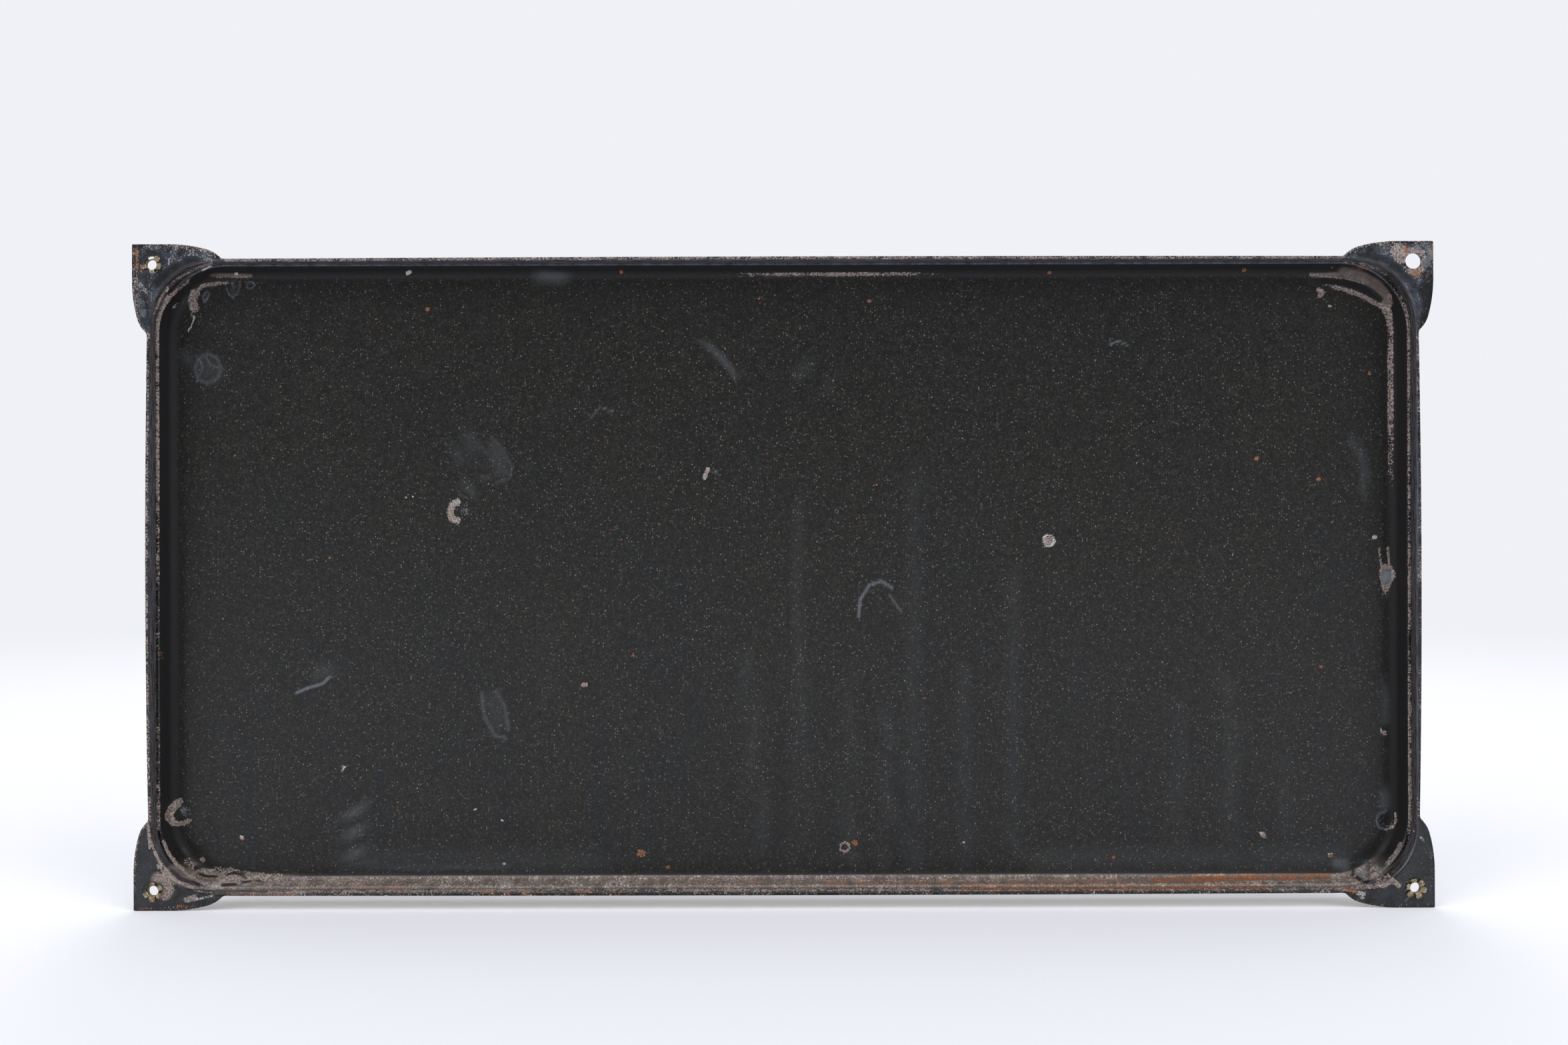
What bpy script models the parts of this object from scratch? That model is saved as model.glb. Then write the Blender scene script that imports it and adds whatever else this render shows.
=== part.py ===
# Enamelled pressed-steel wall sign with four fixing ears and brass eyelets.
#
# The sign is one sheet of steel, drawn into a shallow two-step pan, trimmed with
# an ear at each corner, and enamelled all over. Three of its four fixing holes
# still hold a split brass eyelet. The display side faces +Y and the open back of
# the pan faces -Y. The origin is the centre of the sign's box. Left and right are
# as seen from behind, looking along +Y.

import math

import bmesh
import bpy

# Overall form, in metres
SIGN_WIDTH = 0.700
SIGN_HEIGHT = 0.3586
SHEET_THICKNESS = 0.0011

# Trimmed outline: each ear's edge runs straight from its corner, tapers on a
# long arc, rolls over a shoulder and meets the rim in a small neck
EAR_STANDS_OUT = 0.0079
EAR_CORNER_RADIUS = 0.0007
EAR_STRAIGHT = 0.0200
EAR_TAPER_RADIUS = 0.0750
EAR_TAPER_ANGLE = math.radians(15.5)
EAR_SHOULDER_RADIUS = 0.0160
EAR_NECK_RADIUS = 0.0035
LONG_SIDE_BOW = 0.0005
SHORT_SIDE_BOW = 0.0012

# Drawn pan: a steep first wall, a narrow ledge, a second wall and the flat field.
# Front radii are those of the display side, where the sheet bends most tightly
LIP_WIDTH = 0.0015
RIM_FRONT_RADIUS = 0.0005
RIM_CORNER_RADIUS = 0.0344
FIRST_WALL_DEPTH = 0.0090
FIRST_WALL_DRAFT = 0.0003
LEDGE_WIDTH = 0.0010
LEDGE_DROP = 0.0007
LEDGE_HOLLOW_RADIUS = 0.0005
LEDGE_FRONT_RADIUS = 0.00015
LEDGE_CORNER_GROWTH = 0.0037
SECOND_WALL_DEPTH = 0.0140
SECOND_WALL_DRAFT = 0.0006
FIELD_FILLET_RADIUS = 0.0040

# Eyelets, which set the size of the fixing holes
BORE_RADIUS = 0.0027
BRASS_THICKNESS = 0.00035
HOLE_CLEARANCE = 0.00115
HOLE_INSET = 0.01075
FLANGE_OVERLAP = 0.0012
MOUTH_RADIUS = 0.0005
SEAT_GAP = 0.0003
PETAL_THICKNESS = 0.0003
PETAL_BEND_RADIUS = 0.0008
PETAL_DROOP = math.radians(14)
PETAL_REACH = 0.0020
PETAL_ROOT_WIDTH = 0.0023
PETAL_ROOT_DEPTH = 0.0005
PETAL_TIP_ROUNDING = 0.0004

# Petals of each eyelet: its direction in degrees from the right, counting
# upwards, how far its tip lies past the hole's edge, and its width at the tip
LOWER_RIGHT_PETALS = (
    (104, 0.0006, 0.0035),
    (39, 0.0012, 0.0035),
    (-14, 0.0020, 0.0034),
    (-67, 0.0018, 0.0036),
    (-131, 0.0017, 0.0031),
    (171, 0.0006, 0.0034),
)
UPPER_LEFT_PETALS = (
    (45, 0.0015, 0.0032),
    (-13, 0.0011, 0.0033),
    (-84, -0.0002, 0.0025),
    (197, 0.0017, 0.0019),
)
LOWER_LEFT_PETALS = (
    (92, -0.0002, 0.0027),
    (26, 0.0010, 0.0032),
    (-37, 0.0008, 0.0032),
    (-96, 0.0017, 0.0035),
    (-151, 0.0014, 0.0030),
)

# The upper left eyelet hangs low in its hole by this share of its clearance, and
# a piece of its front flange has broken away above the bore
UPPER_LEFT_SAG_SHARE = 0.3
FLANGE_BREAK_START = math.radians(64)
FLANGE_BREAK_END = math.radians(124)

# Facets
BEND_STEPS = 4
CORNER_STEPS = 13
OUTLINE_STEPS = 8
HOLE_SIDES = 40
PETAL_STEPS_ALONG = 7
PETAL_STEPS_ACROSS = 4

# Sizes worked out from the ones above
BARREL_RADIUS = BORE_RADIUS + BRASS_THICKNESS
HOLE_RADIUS = BARREL_RADIUS + HOLE_CLEARANCE
FLANGE_RADIUS = HOLE_RADIUS + FLANGE_OVERLAP
HOLE_X = SIGN_WIDTH / 2 - HOLE_INSET
HOLE_Y = SIGN_HEIGHT / 2 - HOLE_INSET
RIM_BEND_INSET = EAR_STANDS_OUT + LIP_WIDTH
RIM_BEND_RADIUS = RIM_FRONT_RADIUS + SHEET_THICKNESS
LEDGE_EDGE_RADIUS = LEDGE_FRONT_RADIUS + SHEET_THICKNESS
LEDGE_INSET = FIRST_WALL_DRAFT + LEDGE_WIDTH
LEDGE_DEPTH = FIRST_WALL_DEPTH + LEDGE_DROP
FIELD_DEPTH = LEDGE_DEPTH + SECOND_WALL_DEPTH
PETAL_ROOT_RADIUS = BARREL_RADIUS - BRASS_THICKNESS / 2
PETAL_BEND_CENTRE = PETAL_ROOT_RADIUS + PETAL_BEND_RADIUS
PETAL_BEND_END = PETAL_BEND_CENTRE + PETAL_BEND_RADIUS * math.sin(PETAL_DROOP)
PETAL_FALL = (HOLE_RADIUS + PETAL_REACH - PETAL_BEND_END) * math.tan(PETAL_DROOP)
PETAL_BEND_HEIGHT = SEAT_GAP + PETAL_THICKNESS + PETAL_FALL
PETAL_BEND_HEIGHT -= PETAL_BEND_RADIUS * math.cos(PETAL_DROOP)
PETAL_CREST = PETAL_BEND_HEIGHT + PETAL_BEND_RADIUS + PETAL_THICKNESS / 2
BOX_CENTRE_DEPTH = (FIELD_DEPTH + SHEET_THICKNESS - PETAL_CREST) / 2
MERGE_DISTANCE = 0.00001
SHARP_ANGLE = math.radians(40)

COLOUR_ENAMEL = (0.024, 0.023, 0.022, 1.0)
COLOUR_BRASS = (0.33, 0.24, 0.11, 1.0)


def clear_scene():
    for obj in list(bpy.data.objects):
        bpy.data.objects.remove(obj, do_unlink=True)


def make_collection(name):
    collection = bpy.data.collections.new(name)
    bpy.context.scene.collection.children.link(collection)
    return collection


def make_material(name, colour, roughness, metallic):
    material = bpy.data.materials.new(name)
    material.use_nodes = True
    shader = material.node_tree.nodes["Principled BSDF"]
    shader.inputs["Base Color"].default_value = colour
    shader.inputs["Roughness"].default_value = roughness
    shader.inputs["Metallic"].default_value = metallic
    return material


def object_from_bmesh(bm, name, collection):
    mesh = bpy.data.meshes.new(name)
    bm.to_mesh(mesh)
    bm.free()
    obj = bpy.data.objects.new(name, mesh)
    collection.objects.link(obj)
    return obj


def make_cutter(obj):
    obj.hide_render = True
    obj.display_type = "WIRE"
    return obj


def add_boolean(obj, operand, operation):
    modifier = obj.modifiers.new(operation.title() + " " + operand.name, "BOOLEAN")
    modifier.operation = operation
    modifier.object = operand
    modifier.solver = "EXACT"


def finish_mesh(obj, material):
    """Applies the modifiers, so that the sharp edges of the finished form can be marked."""
    evaluated = obj.evaluated_get(bpy.context.evaluated_depsgraph_get())
    mesh = bpy.data.meshes.new_from_object(evaluated)
    mesh.shade_smooth()
    mesh.set_sharp_from_angle(angle=SHARP_ANGLE)
    mesh.materials.clear()
    mesh.materials.append(material)
    obj.modifiers.clear()
    obj.data = mesh


# Pressed form

def rounded_profile(corners):
    """Points along a line whose corners, each (inset, depth, radius), are rounded off by arcs."""
    points = [corners[0][:2]]
    for before, corner, after in zip(corners, corners[1:], corners[2:]):
        x, y, radius = corner
        in_angle = math.atan2(y - before[1], x - before[0])
        out_angle = math.atan2(after[1] - y, after[0] - x)
        turn = out_angle - in_angle
        half_tangent = math.tan(abs(turn) / 2)
        room = min(math.dist(before[:2], (x, y)), math.dist(after[:2], (x, y))) / 2
        radius = min(radius, room / half_tangent)
        tangent = radius * half_tangent
        side = math.copysign(1.0, turn)
        start_x = x - tangent * math.cos(in_angle)
        start_y = y - tangent * math.sin(in_angle)
        centre_x = start_x - side * radius * math.sin(in_angle)
        centre_y = start_y + side * radius * math.cos(in_angle)
        for step in range(BEND_STEPS + 1):
            angle = in_angle + turn * step / BEND_STEPS
            points.append((
                centre_x + side * radius * math.sin(angle),
                centre_y - side * radius * math.cos(angle),
            ))
    points.append(corners[-1][:2])
    return points


def rounded_rectangle(half_width, half_height, radius):
    """One loop of points, counter-clockwise, with an arc at each corner."""
    points = []
    centre_x = half_width - radius
    centre_y = half_height - radius
    for quarter in range(4):
        sign_x = (1, -1, -1, 1)[quarter]
        sign_y = (1, 1, -1, -1)[quarter]
        for step in range(CORNER_STEPS + 1):
            angle = math.pi / 2 * (quarter + step / CORNER_STEPS)
            points.append((
                sign_x * centre_x + radius * math.cos(angle),
                sign_y * centre_y + radius * math.sin(angle),
            ))
    return points


def pressing_loops():
    """The rounded rectangles of the back surface, from outside the ears to the field's edge."""
    half_width = SIGN_WIDTH / 2 - RIM_BEND_INSET
    half_height = SIGN_HEIGHT / 2 - RIM_BEND_INSET
    section = rounded_profile([
        (-RIM_BEND_INSET / 2, 0.0, 0.0),
        (0.0, 0.0, RIM_BEND_RADIUS),
        (FIRST_WALL_DRAFT, FIRST_WALL_DEPTH, LEDGE_HOLLOW_RADIUS),
        (LEDGE_INSET, LEDGE_DEPTH, LEDGE_EDGE_RADIUS),
        (LEDGE_INSET + SECOND_WALL_DRAFT, FIELD_DEPTH, FIELD_FILLET_RADIUS),
        (LEDGE_INSET + SECOND_WALL_DRAFT + 2 * FIELD_FILLET_RADIUS, FIELD_DEPTH, 0.0),
    ])
    margin = RIM_BEND_INSET + 2 * SHEET_THICKNESS
    outer = rounded_rectangle(half_width + margin, half_height + margin, SHEET_THICKNESS)
    loops = [[(x, y, 0.0) for x, y in outer]]
    for inset, depth in section:
        growth = LEDGE_CORNER_GROWTH * min(max(depth / LEDGE_DEPTH, 0.0), 1.0)
        radius = RIM_CORNER_RADIUS + growth - inset
        loop = rounded_rectangle(half_width - inset, half_height - inset, radius)
        loops.append([(x, y, -depth) for x, y in loop])
    return loops


def make_pressing(name, collection):
    bm = bmesh.new()
    rings = [[bm.verts.new(point) for point in loop] for loop in pressing_loops()]
    for outer, inner in zip(rings, rings[1:]):
        count = len(outer)
        for i in range(count):
            j = (i + 1) % count
            bm.faces.new((outer[i], outer[j], inner[j], inner[i]))
    bm.faces.new(rings[-1])
    return object_from_bmesh(bm, name, collection)


# Trimmed outline with its four ears

def ear_edge():
    """(distance along a side from the ear's corner, depth below the ear's edge) to the rim."""
    points = [(EAR_STRAIGHT, 0.0)]
    for step in range(1, OUTLINE_STEPS + 1):
        angle = EAR_TAPER_ANGLE * step / OUTLINE_STEPS
        points.append((
            EAR_STRAIGHT + EAR_TAPER_RADIUS * math.sin(angle),
            EAR_TAPER_RADIUS * (1 - math.cos(angle)),
        ))
    taper_end, taper_drop = points[-1]
    level = EAR_SHOULDER_RADIUS * math.cos(EAR_TAPER_ANGLE) + EAR_NECK_RADIUS
    level -= EAR_STANDS_OUT - taper_drop
    steepest = math.acos(level / (EAR_SHOULDER_RADIUS + EAR_NECK_RADIUS))
    for step in range(1, OUTLINE_STEPS + 1):
        angle = EAR_TAPER_ANGLE + (steepest - EAR_TAPER_ANGLE) * step / OUTLINE_STEPS
        points.append((
            taper_end + EAR_SHOULDER_RADIUS * (math.sin(angle) - math.sin(EAR_TAPER_ANGLE)),
            taper_drop + EAR_SHOULDER_RADIUS * (math.cos(EAR_TAPER_ANGLE) - math.cos(angle)),
        ))
    shoulder_end, shoulder_drop = points[-1]
    for step in range(1, OUTLINE_STEPS + 1):
        angle = steepest * (1 - step / OUTLINE_STEPS)
        points.append((
            shoulder_end + EAR_NECK_RADIUS * (math.sin(steepest) - math.sin(angle)),
            shoulder_drop + EAR_NECK_RADIUS * (math.cos(angle) - math.cos(steepest)),
        ))
    return points


def side_edge(length, bow):
    """(position along the side, depth below the ears' edge) from one ear's corner to the next."""
    ear = ear_edge()
    rim_start = ear[-1][0]
    half_rim = length / 2 - rim_start
    rim = []
    for step in range(1, 2 * OUTLINE_STEPS):
        along = step / OUTLINE_STEPS - 1
        rim.append((length / 2 + along * half_rim, EAR_STANDS_OUT - bow * (1 - along ** 2)))
    far_ear = [(length - s, drop) for s, drop in reversed(ear)]
    return ear + rim + far_ear


def outline_points():
    """The trimmed outline, counter-clockwise from the lower left corner."""
    half_width = SIGN_WIDTH / 2
    half_height = SIGN_HEIGHT / 2
    sides = (
        (SIGN_WIDTH, LONG_SIDE_BOW, (-half_width, -half_height), 0),
        (SIGN_HEIGHT, SHORT_SIDE_BOW, (half_width, -half_height), 1),
        (SIGN_WIDTH, LONG_SIDE_BOW, (half_width, half_height), 2),
        (SIGN_HEIGHT, SHORT_SIDE_BOW, (-half_width, half_height), 3),
    )
    points = []
    for length, bow, (x, y), quarter in sides:
        cos = (1, 0, -1, 0)[quarter]
        sin = (0, 1, 0, -1)[quarter]
        corner = []
        for step in range(OUTLINE_STEPS // 2 + 1):
            angle = math.pi / 2 * (1 - step / (OUTLINE_STEPS // 2))
            corner.append((
                EAR_CORNER_RADIUS * (1 - math.sin(angle)),
                EAR_CORNER_RADIUS * (1 - math.cos(angle)),
            ))
        for s, drop in corner + side_edge(length, bow):
            points.append((x + cos * s - sin * drop, y + sin * s + cos * drop))
    return points


def make_blank(collection):
    """The outline as a thick block that trims the pressing."""
    curve = bpy.data.curves.new("trimmed blank", "CURVE")
    curve.dimensions = "2D"
    curve.fill_mode = "BOTH"
    curve.extrude = 2 * FIELD_DEPTH
    points = outline_points()
    spline = curve.splines.new("POLY")
    spline.points.add(len(points) - 1)
    for point, (x, y) in zip(spline.points, points):
        point.co = (x, y, 0.0, 1.0)
    spline.use_cyclic_u = True
    outline = bpy.data.objects.new("outline", curve)
    collection.objects.link(outline)
    evaluated = outline.evaluated_get(bpy.context.evaluated_depsgraph_get())
    mesh = bpy.data.meshes.new_from_object(evaluated)
    blank = bpy.data.objects.new("trimmed blank", mesh)
    blank.matrix_world = outline.matrix_world
    collection.objects.link(blank)
    bpy.data.objects.remove(outline)
    bm = bmesh.new()
    bm.from_mesh(mesh)
    bmesh.ops.remove_doubles(bm, verts=bm.verts, dist=MERGE_DISTANCE)
    bm.to_mesh(mesh)
    bm.free()
    return make_cutter(blank)


def hole_centres():
    return {
        "upper_left": (-HOLE_X, HOLE_Y),
        "upper_right": (HOLE_X, HOLE_Y),
        "lower_left": (-HOLE_X, -HOLE_Y),
        "lower_right": (HOLE_X, -HOLE_Y),
    }


def make_hole_punches(collection):
    bm = bmesh.new()
    for x, y in hole_centres().values():
        made = bmesh.ops.create_cone(
            bm, cap_ends=True, segments=HOLE_SIDES, radius1=HOLE_RADIUS,
            radius2=HOLE_RADIUS, depth=10 * SHEET_THICKNESS)
        bmesh.ops.translate(bm, verts=made["verts"], vec=(x, y, 0.0))
    return make_cutter(object_from_bmesh(bm, "fixing hole punches", collection))


def make_sign_panel(parts, cutters, enamel):
    panel = make_pressing("sign_panel", parts)
    sheet = panel.modifiers.new("Sheet", "SOLIDIFY")
    sheet.thickness = SHEET_THICKNESS
    sheet.offset = -1.0
    sheet.use_even_offset = True
    add_boolean(panel, make_blank(cutters), "INTERSECT")
    add_boolean(panel, make_hole_punches(cutters), "DIFFERENCE")
    finish_mesh(panel, enamel)


# Split brass eyelets

def make_barrel(name, collection):
    """The turned barrel and front flange, with the eyelet's back towards +Z."""
    front = -SHEET_THICKNESS - SEAT_GAP
    face = front - BRASS_THICKNESS
    profile = [
        (BARREL_RADIUS, SEAT_GAP),
        (BARREL_RADIUS, front),
        (FLANGE_RADIUS, front),
        (FLANGE_RADIUS, face),
    ]
    for step in range(BEND_STEPS + 1):
        angle = math.pi / 2 * step / BEND_STEPS
        profile.append((
            BORE_RADIUS + MOUTH_RADIUS * (1 - math.sin(angle)),
            face + MOUTH_RADIUS * (1 - math.cos(angle)),
        ))
    profile.append((BORE_RADIUS, SEAT_GAP))
    bm = bmesh.new()
    verts = [bm.verts.new((radius, 0.0, height)) for radius, height in profile]
    for first, second in zip(verts, verts[1:] + verts[:1]):
        bm.edges.new((first, second))
    barrel = object_from_bmesh(bm, name, collection)
    turn = barrel.modifiers.new("Turned", "SCREW")
    turn.steps = HOLE_SIDES
    turn.render_steps = HOLE_SIDES
    turn.use_merge_vertices = True
    turn.merge_threshold = MERGE_DISTANCE
    return barrel


def petal_path(past_hole_edge):
    """(radius, height) along the middle of a petal: up out of the barrel, over and down."""
    points = [(PETAL_ROOT_RADIUS, SEAT_GAP - PETAL_ROOT_DEPTH)]
    turn = math.pi / 2 + PETAL_DROOP
    for step in range(PETAL_STEPS_ALONG + 1):
        angle = turn * step / PETAL_STEPS_ALONG
        points.append((
            PETAL_BEND_CENTRE - PETAL_BEND_RADIUS * math.cos(angle),
            PETAL_BEND_HEIGHT + PETAL_BEND_RADIUS * math.sin(angle),
        ))
    bend_end, bend_end_height = points[-1]
    shortest = bend_end + PETAL_THICKNESS + PETAL_TIP_ROUNDING
    tip = max(HOLE_RADIUS + past_hole_edge, shortest)
    for radius in (tip - PETAL_TIP_ROUNDING, tip):
        fall = (radius - bend_end) * math.tan(PETAL_DROOP)
        points.append((radius, bend_end_height - fall))
    return points


def add_petal(bm, direction, past_hole_edge, tip_width):
    """A strip that follows the barrel's round at its root and lies flat at its tip."""
    path = petal_path(past_hole_edge)
    angle = math.radians(direction)
    outward = (math.cos(angle), math.sin(angle))
    rows = []
    for number, (radius, height) in enumerate(path):
        share = min(number / (len(path) - 2), 1.0)
        width = PETAL_ROOT_WIDTH + (tip_width - PETAL_ROOT_WIDTH) * share
        if number == len(path) - 1:
            width -= 2 * PETAL_TIP_ROUNDING
        row = []
        for step in range(PETAL_STEPS_ACROSS + 1):
            side = width * (step / PETAL_STEPS_ACROSS - 0.5)
            on_round = math.sqrt(radius ** 2 - side ** 2)
            out = on_round + (radius - on_round) * share
            row.append(bm.verts.new((
                out * outward[0] - side * outward[1],
                out * outward[1] + side * outward[0],
                height,
            )))
        rows.append(row)
    for low, high in zip(rows, rows[1:]):
        for i in range(PETAL_STEPS_ACROSS):
            bm.faces.new((low[i], low[i + 1], high[i + 1], high[i]))


def make_petals(name, petals, collection):
    bm = bmesh.new()
    for direction, past_hole_edge, tip_width in petals:
        add_petal(bm, direction, past_hole_edge, tip_width)
    obj = object_from_bmesh(bm, name, collection)
    sheet = obj.modifiers.new("Brass sheet", "SOLIDIFY")
    sheet.thickness = PETAL_THICKNESS
    sheet.offset = 0.0
    sheet.use_even_offset = True
    return make_cutter(obj)


def make_flange_break(collection):
    """A wedge with a ragged inner edge, for the piece lost from a flange."""
    inner = BARREL_RADIUS + HOLE_CLEARANCE / 4
    outer = FLANGE_RADIUS + FLANGE_OVERLAP
    ragged = (0.25, 0.0, 0.15, 0.05, 0.3)
    points = []
    for number, share in enumerate(ragged):
        angle = FLANGE_BREAK_START
        angle += (FLANGE_BREAK_END - FLANGE_BREAK_START) * number / (len(ragged) - 1)
        radius = inner + HOLE_CLEARANCE * share
        points.append((radius * math.cos(angle), radius * math.sin(angle)))
    for angle in (FLANGE_BREAK_END, FLANGE_BREAK_START):
        points.append((outer * math.cos(angle), outer * math.sin(angle)))
    bm = bmesh.new()
    base = [bm.verts.new((x, y, -4 * SHEET_THICKNESS)) for x, y in points]
    face = bm.faces.new(base)
    made = bmesh.ops.extrude_face_region(bm, geom=[face])
    top = [v for v in made["geom"] if isinstance(v, bmesh.types.BMVert)]
    bmesh.ops.translate(bm, verts=top, vec=(0.0, 0.0, 4 * SHEET_THICKNESS - SEAT_GAP))
    bmesh.ops.recalc_face_normals(bm, faces=bm.faces)
    return make_cutter(object_from_bmesh(bm, "flange break", collection))


def make_eyelet(corner, petals, parts, cutters, brass, sag=0.0, broken=False):
    name = "eyelet_" + corner
    eyelet = make_barrel(name, parts)
    tools = [(make_petals("petals " + corner, petals, cutters), "UNION")]
    if broken:
        tools.append((make_flange_break(cutters), "DIFFERENCE"))
    x, y = hole_centres()[corner]
    eyelet.location = (x, y - sag, 0.0)
    for tool, operation in tools:
        tool.location = eyelet.location
        add_boolean(eyelet, tool, operation)
    finish_mesh(eyelet, brass)


def main():
    clear_scene()
    parts = make_collection("enamel sign")
    cutters = make_collection("cutters")
    enamel = make_material("black enamel", COLOUR_ENAMEL, 0.25, 0.0)
    brass = make_material("aged brass", COLOUR_BRASS, 0.45, 1.0)

    make_sign_panel(parts, cutters, enamel)
    make_eyelet("lower_right", LOWER_RIGHT_PETALS, parts, cutters, brass)
    make_eyelet("upper_left", UPPER_LEFT_PETALS, parts, cutters, brass,
                sag=UPPER_LEFT_SAG_SHARE * HOLE_CLEARANCE, broken=True)
    make_eyelet("lower_left", LOWER_LEFT_PETALS, parts, cutters, brass)

    # Everything is drawn flat, with the backs of the ears at zero height and the
    # pan below them, and is then stood upright about the centre of its box
    upright = bpy.data.objects.new("upright", None)
    upright.rotation_euler = (math.pi / 2, 0.0, 0.0)
    upright.location = (0.0, -BOX_CENTRE_DEPTH, 0.0)
    for obj in list(parts.objects) + list(cutters.objects):
        obj.parent = upright
    parts.objects.link(upright)
    bpy.context.view_layer.update()


main()
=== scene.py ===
# Looks of the enamelled sign: the pressed panel with its fired enamel and wear, the split
# brass eyelets, a pale studio sweep, soft lamps and the camera behind the sign.

import math

import bmesh
import bpy
import numpy as np
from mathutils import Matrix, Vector


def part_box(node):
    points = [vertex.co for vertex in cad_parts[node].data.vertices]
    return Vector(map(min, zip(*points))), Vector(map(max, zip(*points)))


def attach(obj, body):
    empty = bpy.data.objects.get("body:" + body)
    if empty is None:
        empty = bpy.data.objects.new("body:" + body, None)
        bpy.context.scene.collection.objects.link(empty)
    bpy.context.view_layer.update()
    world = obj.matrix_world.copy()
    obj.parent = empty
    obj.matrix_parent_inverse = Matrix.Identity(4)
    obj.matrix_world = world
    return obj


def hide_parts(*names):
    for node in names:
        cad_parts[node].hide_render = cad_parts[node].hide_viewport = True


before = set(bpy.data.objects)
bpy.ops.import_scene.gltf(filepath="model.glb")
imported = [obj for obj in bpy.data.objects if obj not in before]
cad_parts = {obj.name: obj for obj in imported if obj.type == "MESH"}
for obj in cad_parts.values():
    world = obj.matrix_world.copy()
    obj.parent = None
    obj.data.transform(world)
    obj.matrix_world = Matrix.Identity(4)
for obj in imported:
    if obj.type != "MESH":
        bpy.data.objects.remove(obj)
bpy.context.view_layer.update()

MM = 0.001

# Node kinds that come up often. Math adds unless it is told otherwise
MATH = "ShaderNodeMath"
RANGE = "ShaderNodeMapRange"
MIX = "ShaderNodeMix"
NOISE = "ShaderNodeTexNoise"

# Where the sign is, read from its part in model.glb
PANEL_LOW, PANEL_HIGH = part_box("sign_panel")
EAR_BACK = PANEL_LOW[1]
DISPLAY_FACE = PANEL_HIGH[1]
FLOOR_LEVEL = PANEL_LOW[2] - 0.15 * MM
SIGN_WIDTH = PANEL_HIGH[0] - PANEL_LOW[0]
SIGN_HEIGHT = PANEL_HIGH[2] - PANEL_LOW[2]

# Camera, as far as the photograph's perspective tells: square to the sign, a little
# above its middle. The pixel sizes are those of the photograph
PHOTO_WIDTH_PX = 2352
PHOTO_HEIGHT_PX = 1568
LENS = 35.0
FILM_WIDTH = 36.0
CAMERA_DISTANCE = 820 * MM
CAMERA_X = 0.4 * MM
CAMERA_RISE = 28.7 * MM
CAMERA_ROLL = math.radians(0.15)

# Pressed form, as in the solid, with finer steps
SHEET_THICKNESS = 1.1 * MM
EAR_STANDS_OUT = 7.9 * MM
LIP_WIDTH = 1.5 * MM
RIM_BEND_RADIUS = 1.6 * MM
RIM_CORNER_RADIUS = 34.4 * MM
FIRST_WALL_DEPTH = 9.0 * MM
FIRST_WALL_DRAFT = 0.3 * MM
LEDGE_WIDTH = 1.0 * MM
LEDGE_DROP = 0.7 * MM
LEDGE_HOLLOW_RADIUS = 0.5 * MM
LEDGE_EDGE_RADIUS = 1.25 * MM
LEDGE_CORNER_GROWTH = 3.7 * MM
SECOND_WALL_DRAFT = 0.6 * MM
FIELD_FILLET_RADIUS = 4.0 * MM
RIM_BEND_INSET = EAR_STANDS_OUT + LIP_WIDTH
RIM_HALF_WIDTH = SIGN_WIDTH / 2 - RIM_BEND_INSET
RIM_HALF_HEIGHT = SIGN_HEIGHT / 2 - RIM_BEND_INSET
LEDGE_INSET = FIRST_WALL_DRAFT + LEDGE_WIDTH
LEDGE_DEPTH = FIRST_WALL_DEPTH + LEDGE_DROP
FIELD_DEPTH = DISPLAY_FACE - EAR_BACK - SHEET_THICKNESS

# Trimmed outline
EAR_CORNER_RADIUS = 0.7 * MM
EAR_STRAIGHT = 20 * MM
EAR_TAPER_RADIUS = 75 * MM
EAR_TAPER_ANGLE = math.radians(15.5)
EAR_SHOULDER_RADIUS = 16 * MM
EAR_NECK_RADIUS = 3.5 * MM
LONG_SIDE_BOW = 0.5 * MM
SHORT_SIDE_BOW = 1.2 * MM

# Fixing holes and eyelets
HOLE_INSET = 10.75 * MM
HOLE_RADIUS = 4.2 * MM
BORE_RADIUS = 2.7 * MM
BRASS_THICKNESS = 0.35 * MM
FLANGE_RADIUS = 5.4 * MM
MOUTH_RADIUS = 0.5 * MM
SEAT_GAP = 0.3 * MM
PETAL_THICKNESS = 0.26 * MM
PETAL_BEND_RADIUS = 0.8 * MM
PETAL_DROOP = math.radians(14)
PETAL_REACH = 2.0 * MM
PETAL_ROOT_WIDTH = 2.3 * MM
UPPER_LEFT_SAG = 0.345 * MM
FLANGE_BREAK = (math.radians(64), math.radians(124))
FLANGE_BREAK_MARGIN = 0.29 * MM
FLANGE_BREAK_RAGGEDNESS = 1.15 * MM
FLANGE_BREAK_REACH = 6.6 * MM
FLANGE_BREAK_DEPTH = 4.4 * MM

# Backdrop's colour
BACKDROP = "#eff1f6"

# Facets
BEND_STEPS = 7
CORNER_STEPS = 24
ARC_STEPS = 16
HOLE_SIDES = 64
SIDE_FACET = 8.6 * MM
WALL_FACET = 1.4 * MM
FIELD_EDGE_FACET = 3.0 * MM
FIELD_FACET = 10.0 * MM
FIELD_EDGE_WIDTH = 30 * MM
EAR_ROWS = 9
PANEL_SHARP_ANGLE = 42
EYELET_SHARP_ANGLE = 38
PLAIN_FRONT_DEPTH = 3 * MM
PLAIN_FRONT_ANGLE = math.radians(0.3)
FLOOR_HALF_WIDTH = 30.0
MERGE_DISTANCE = 0.02 * MM


def linear(hex_colour):
    """Linear RGBA of an sRGB hex colour."""
    channels = [int(hex_colour[i:i + 2], 16) / 255 for i in (1, 3, 5)]
    return tuple(
        c / 12.92 if c <= 0.04045 else ((c + 0.055) / 1.055) ** 2.4 for c in channels
    ) + (1.0,)


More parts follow.
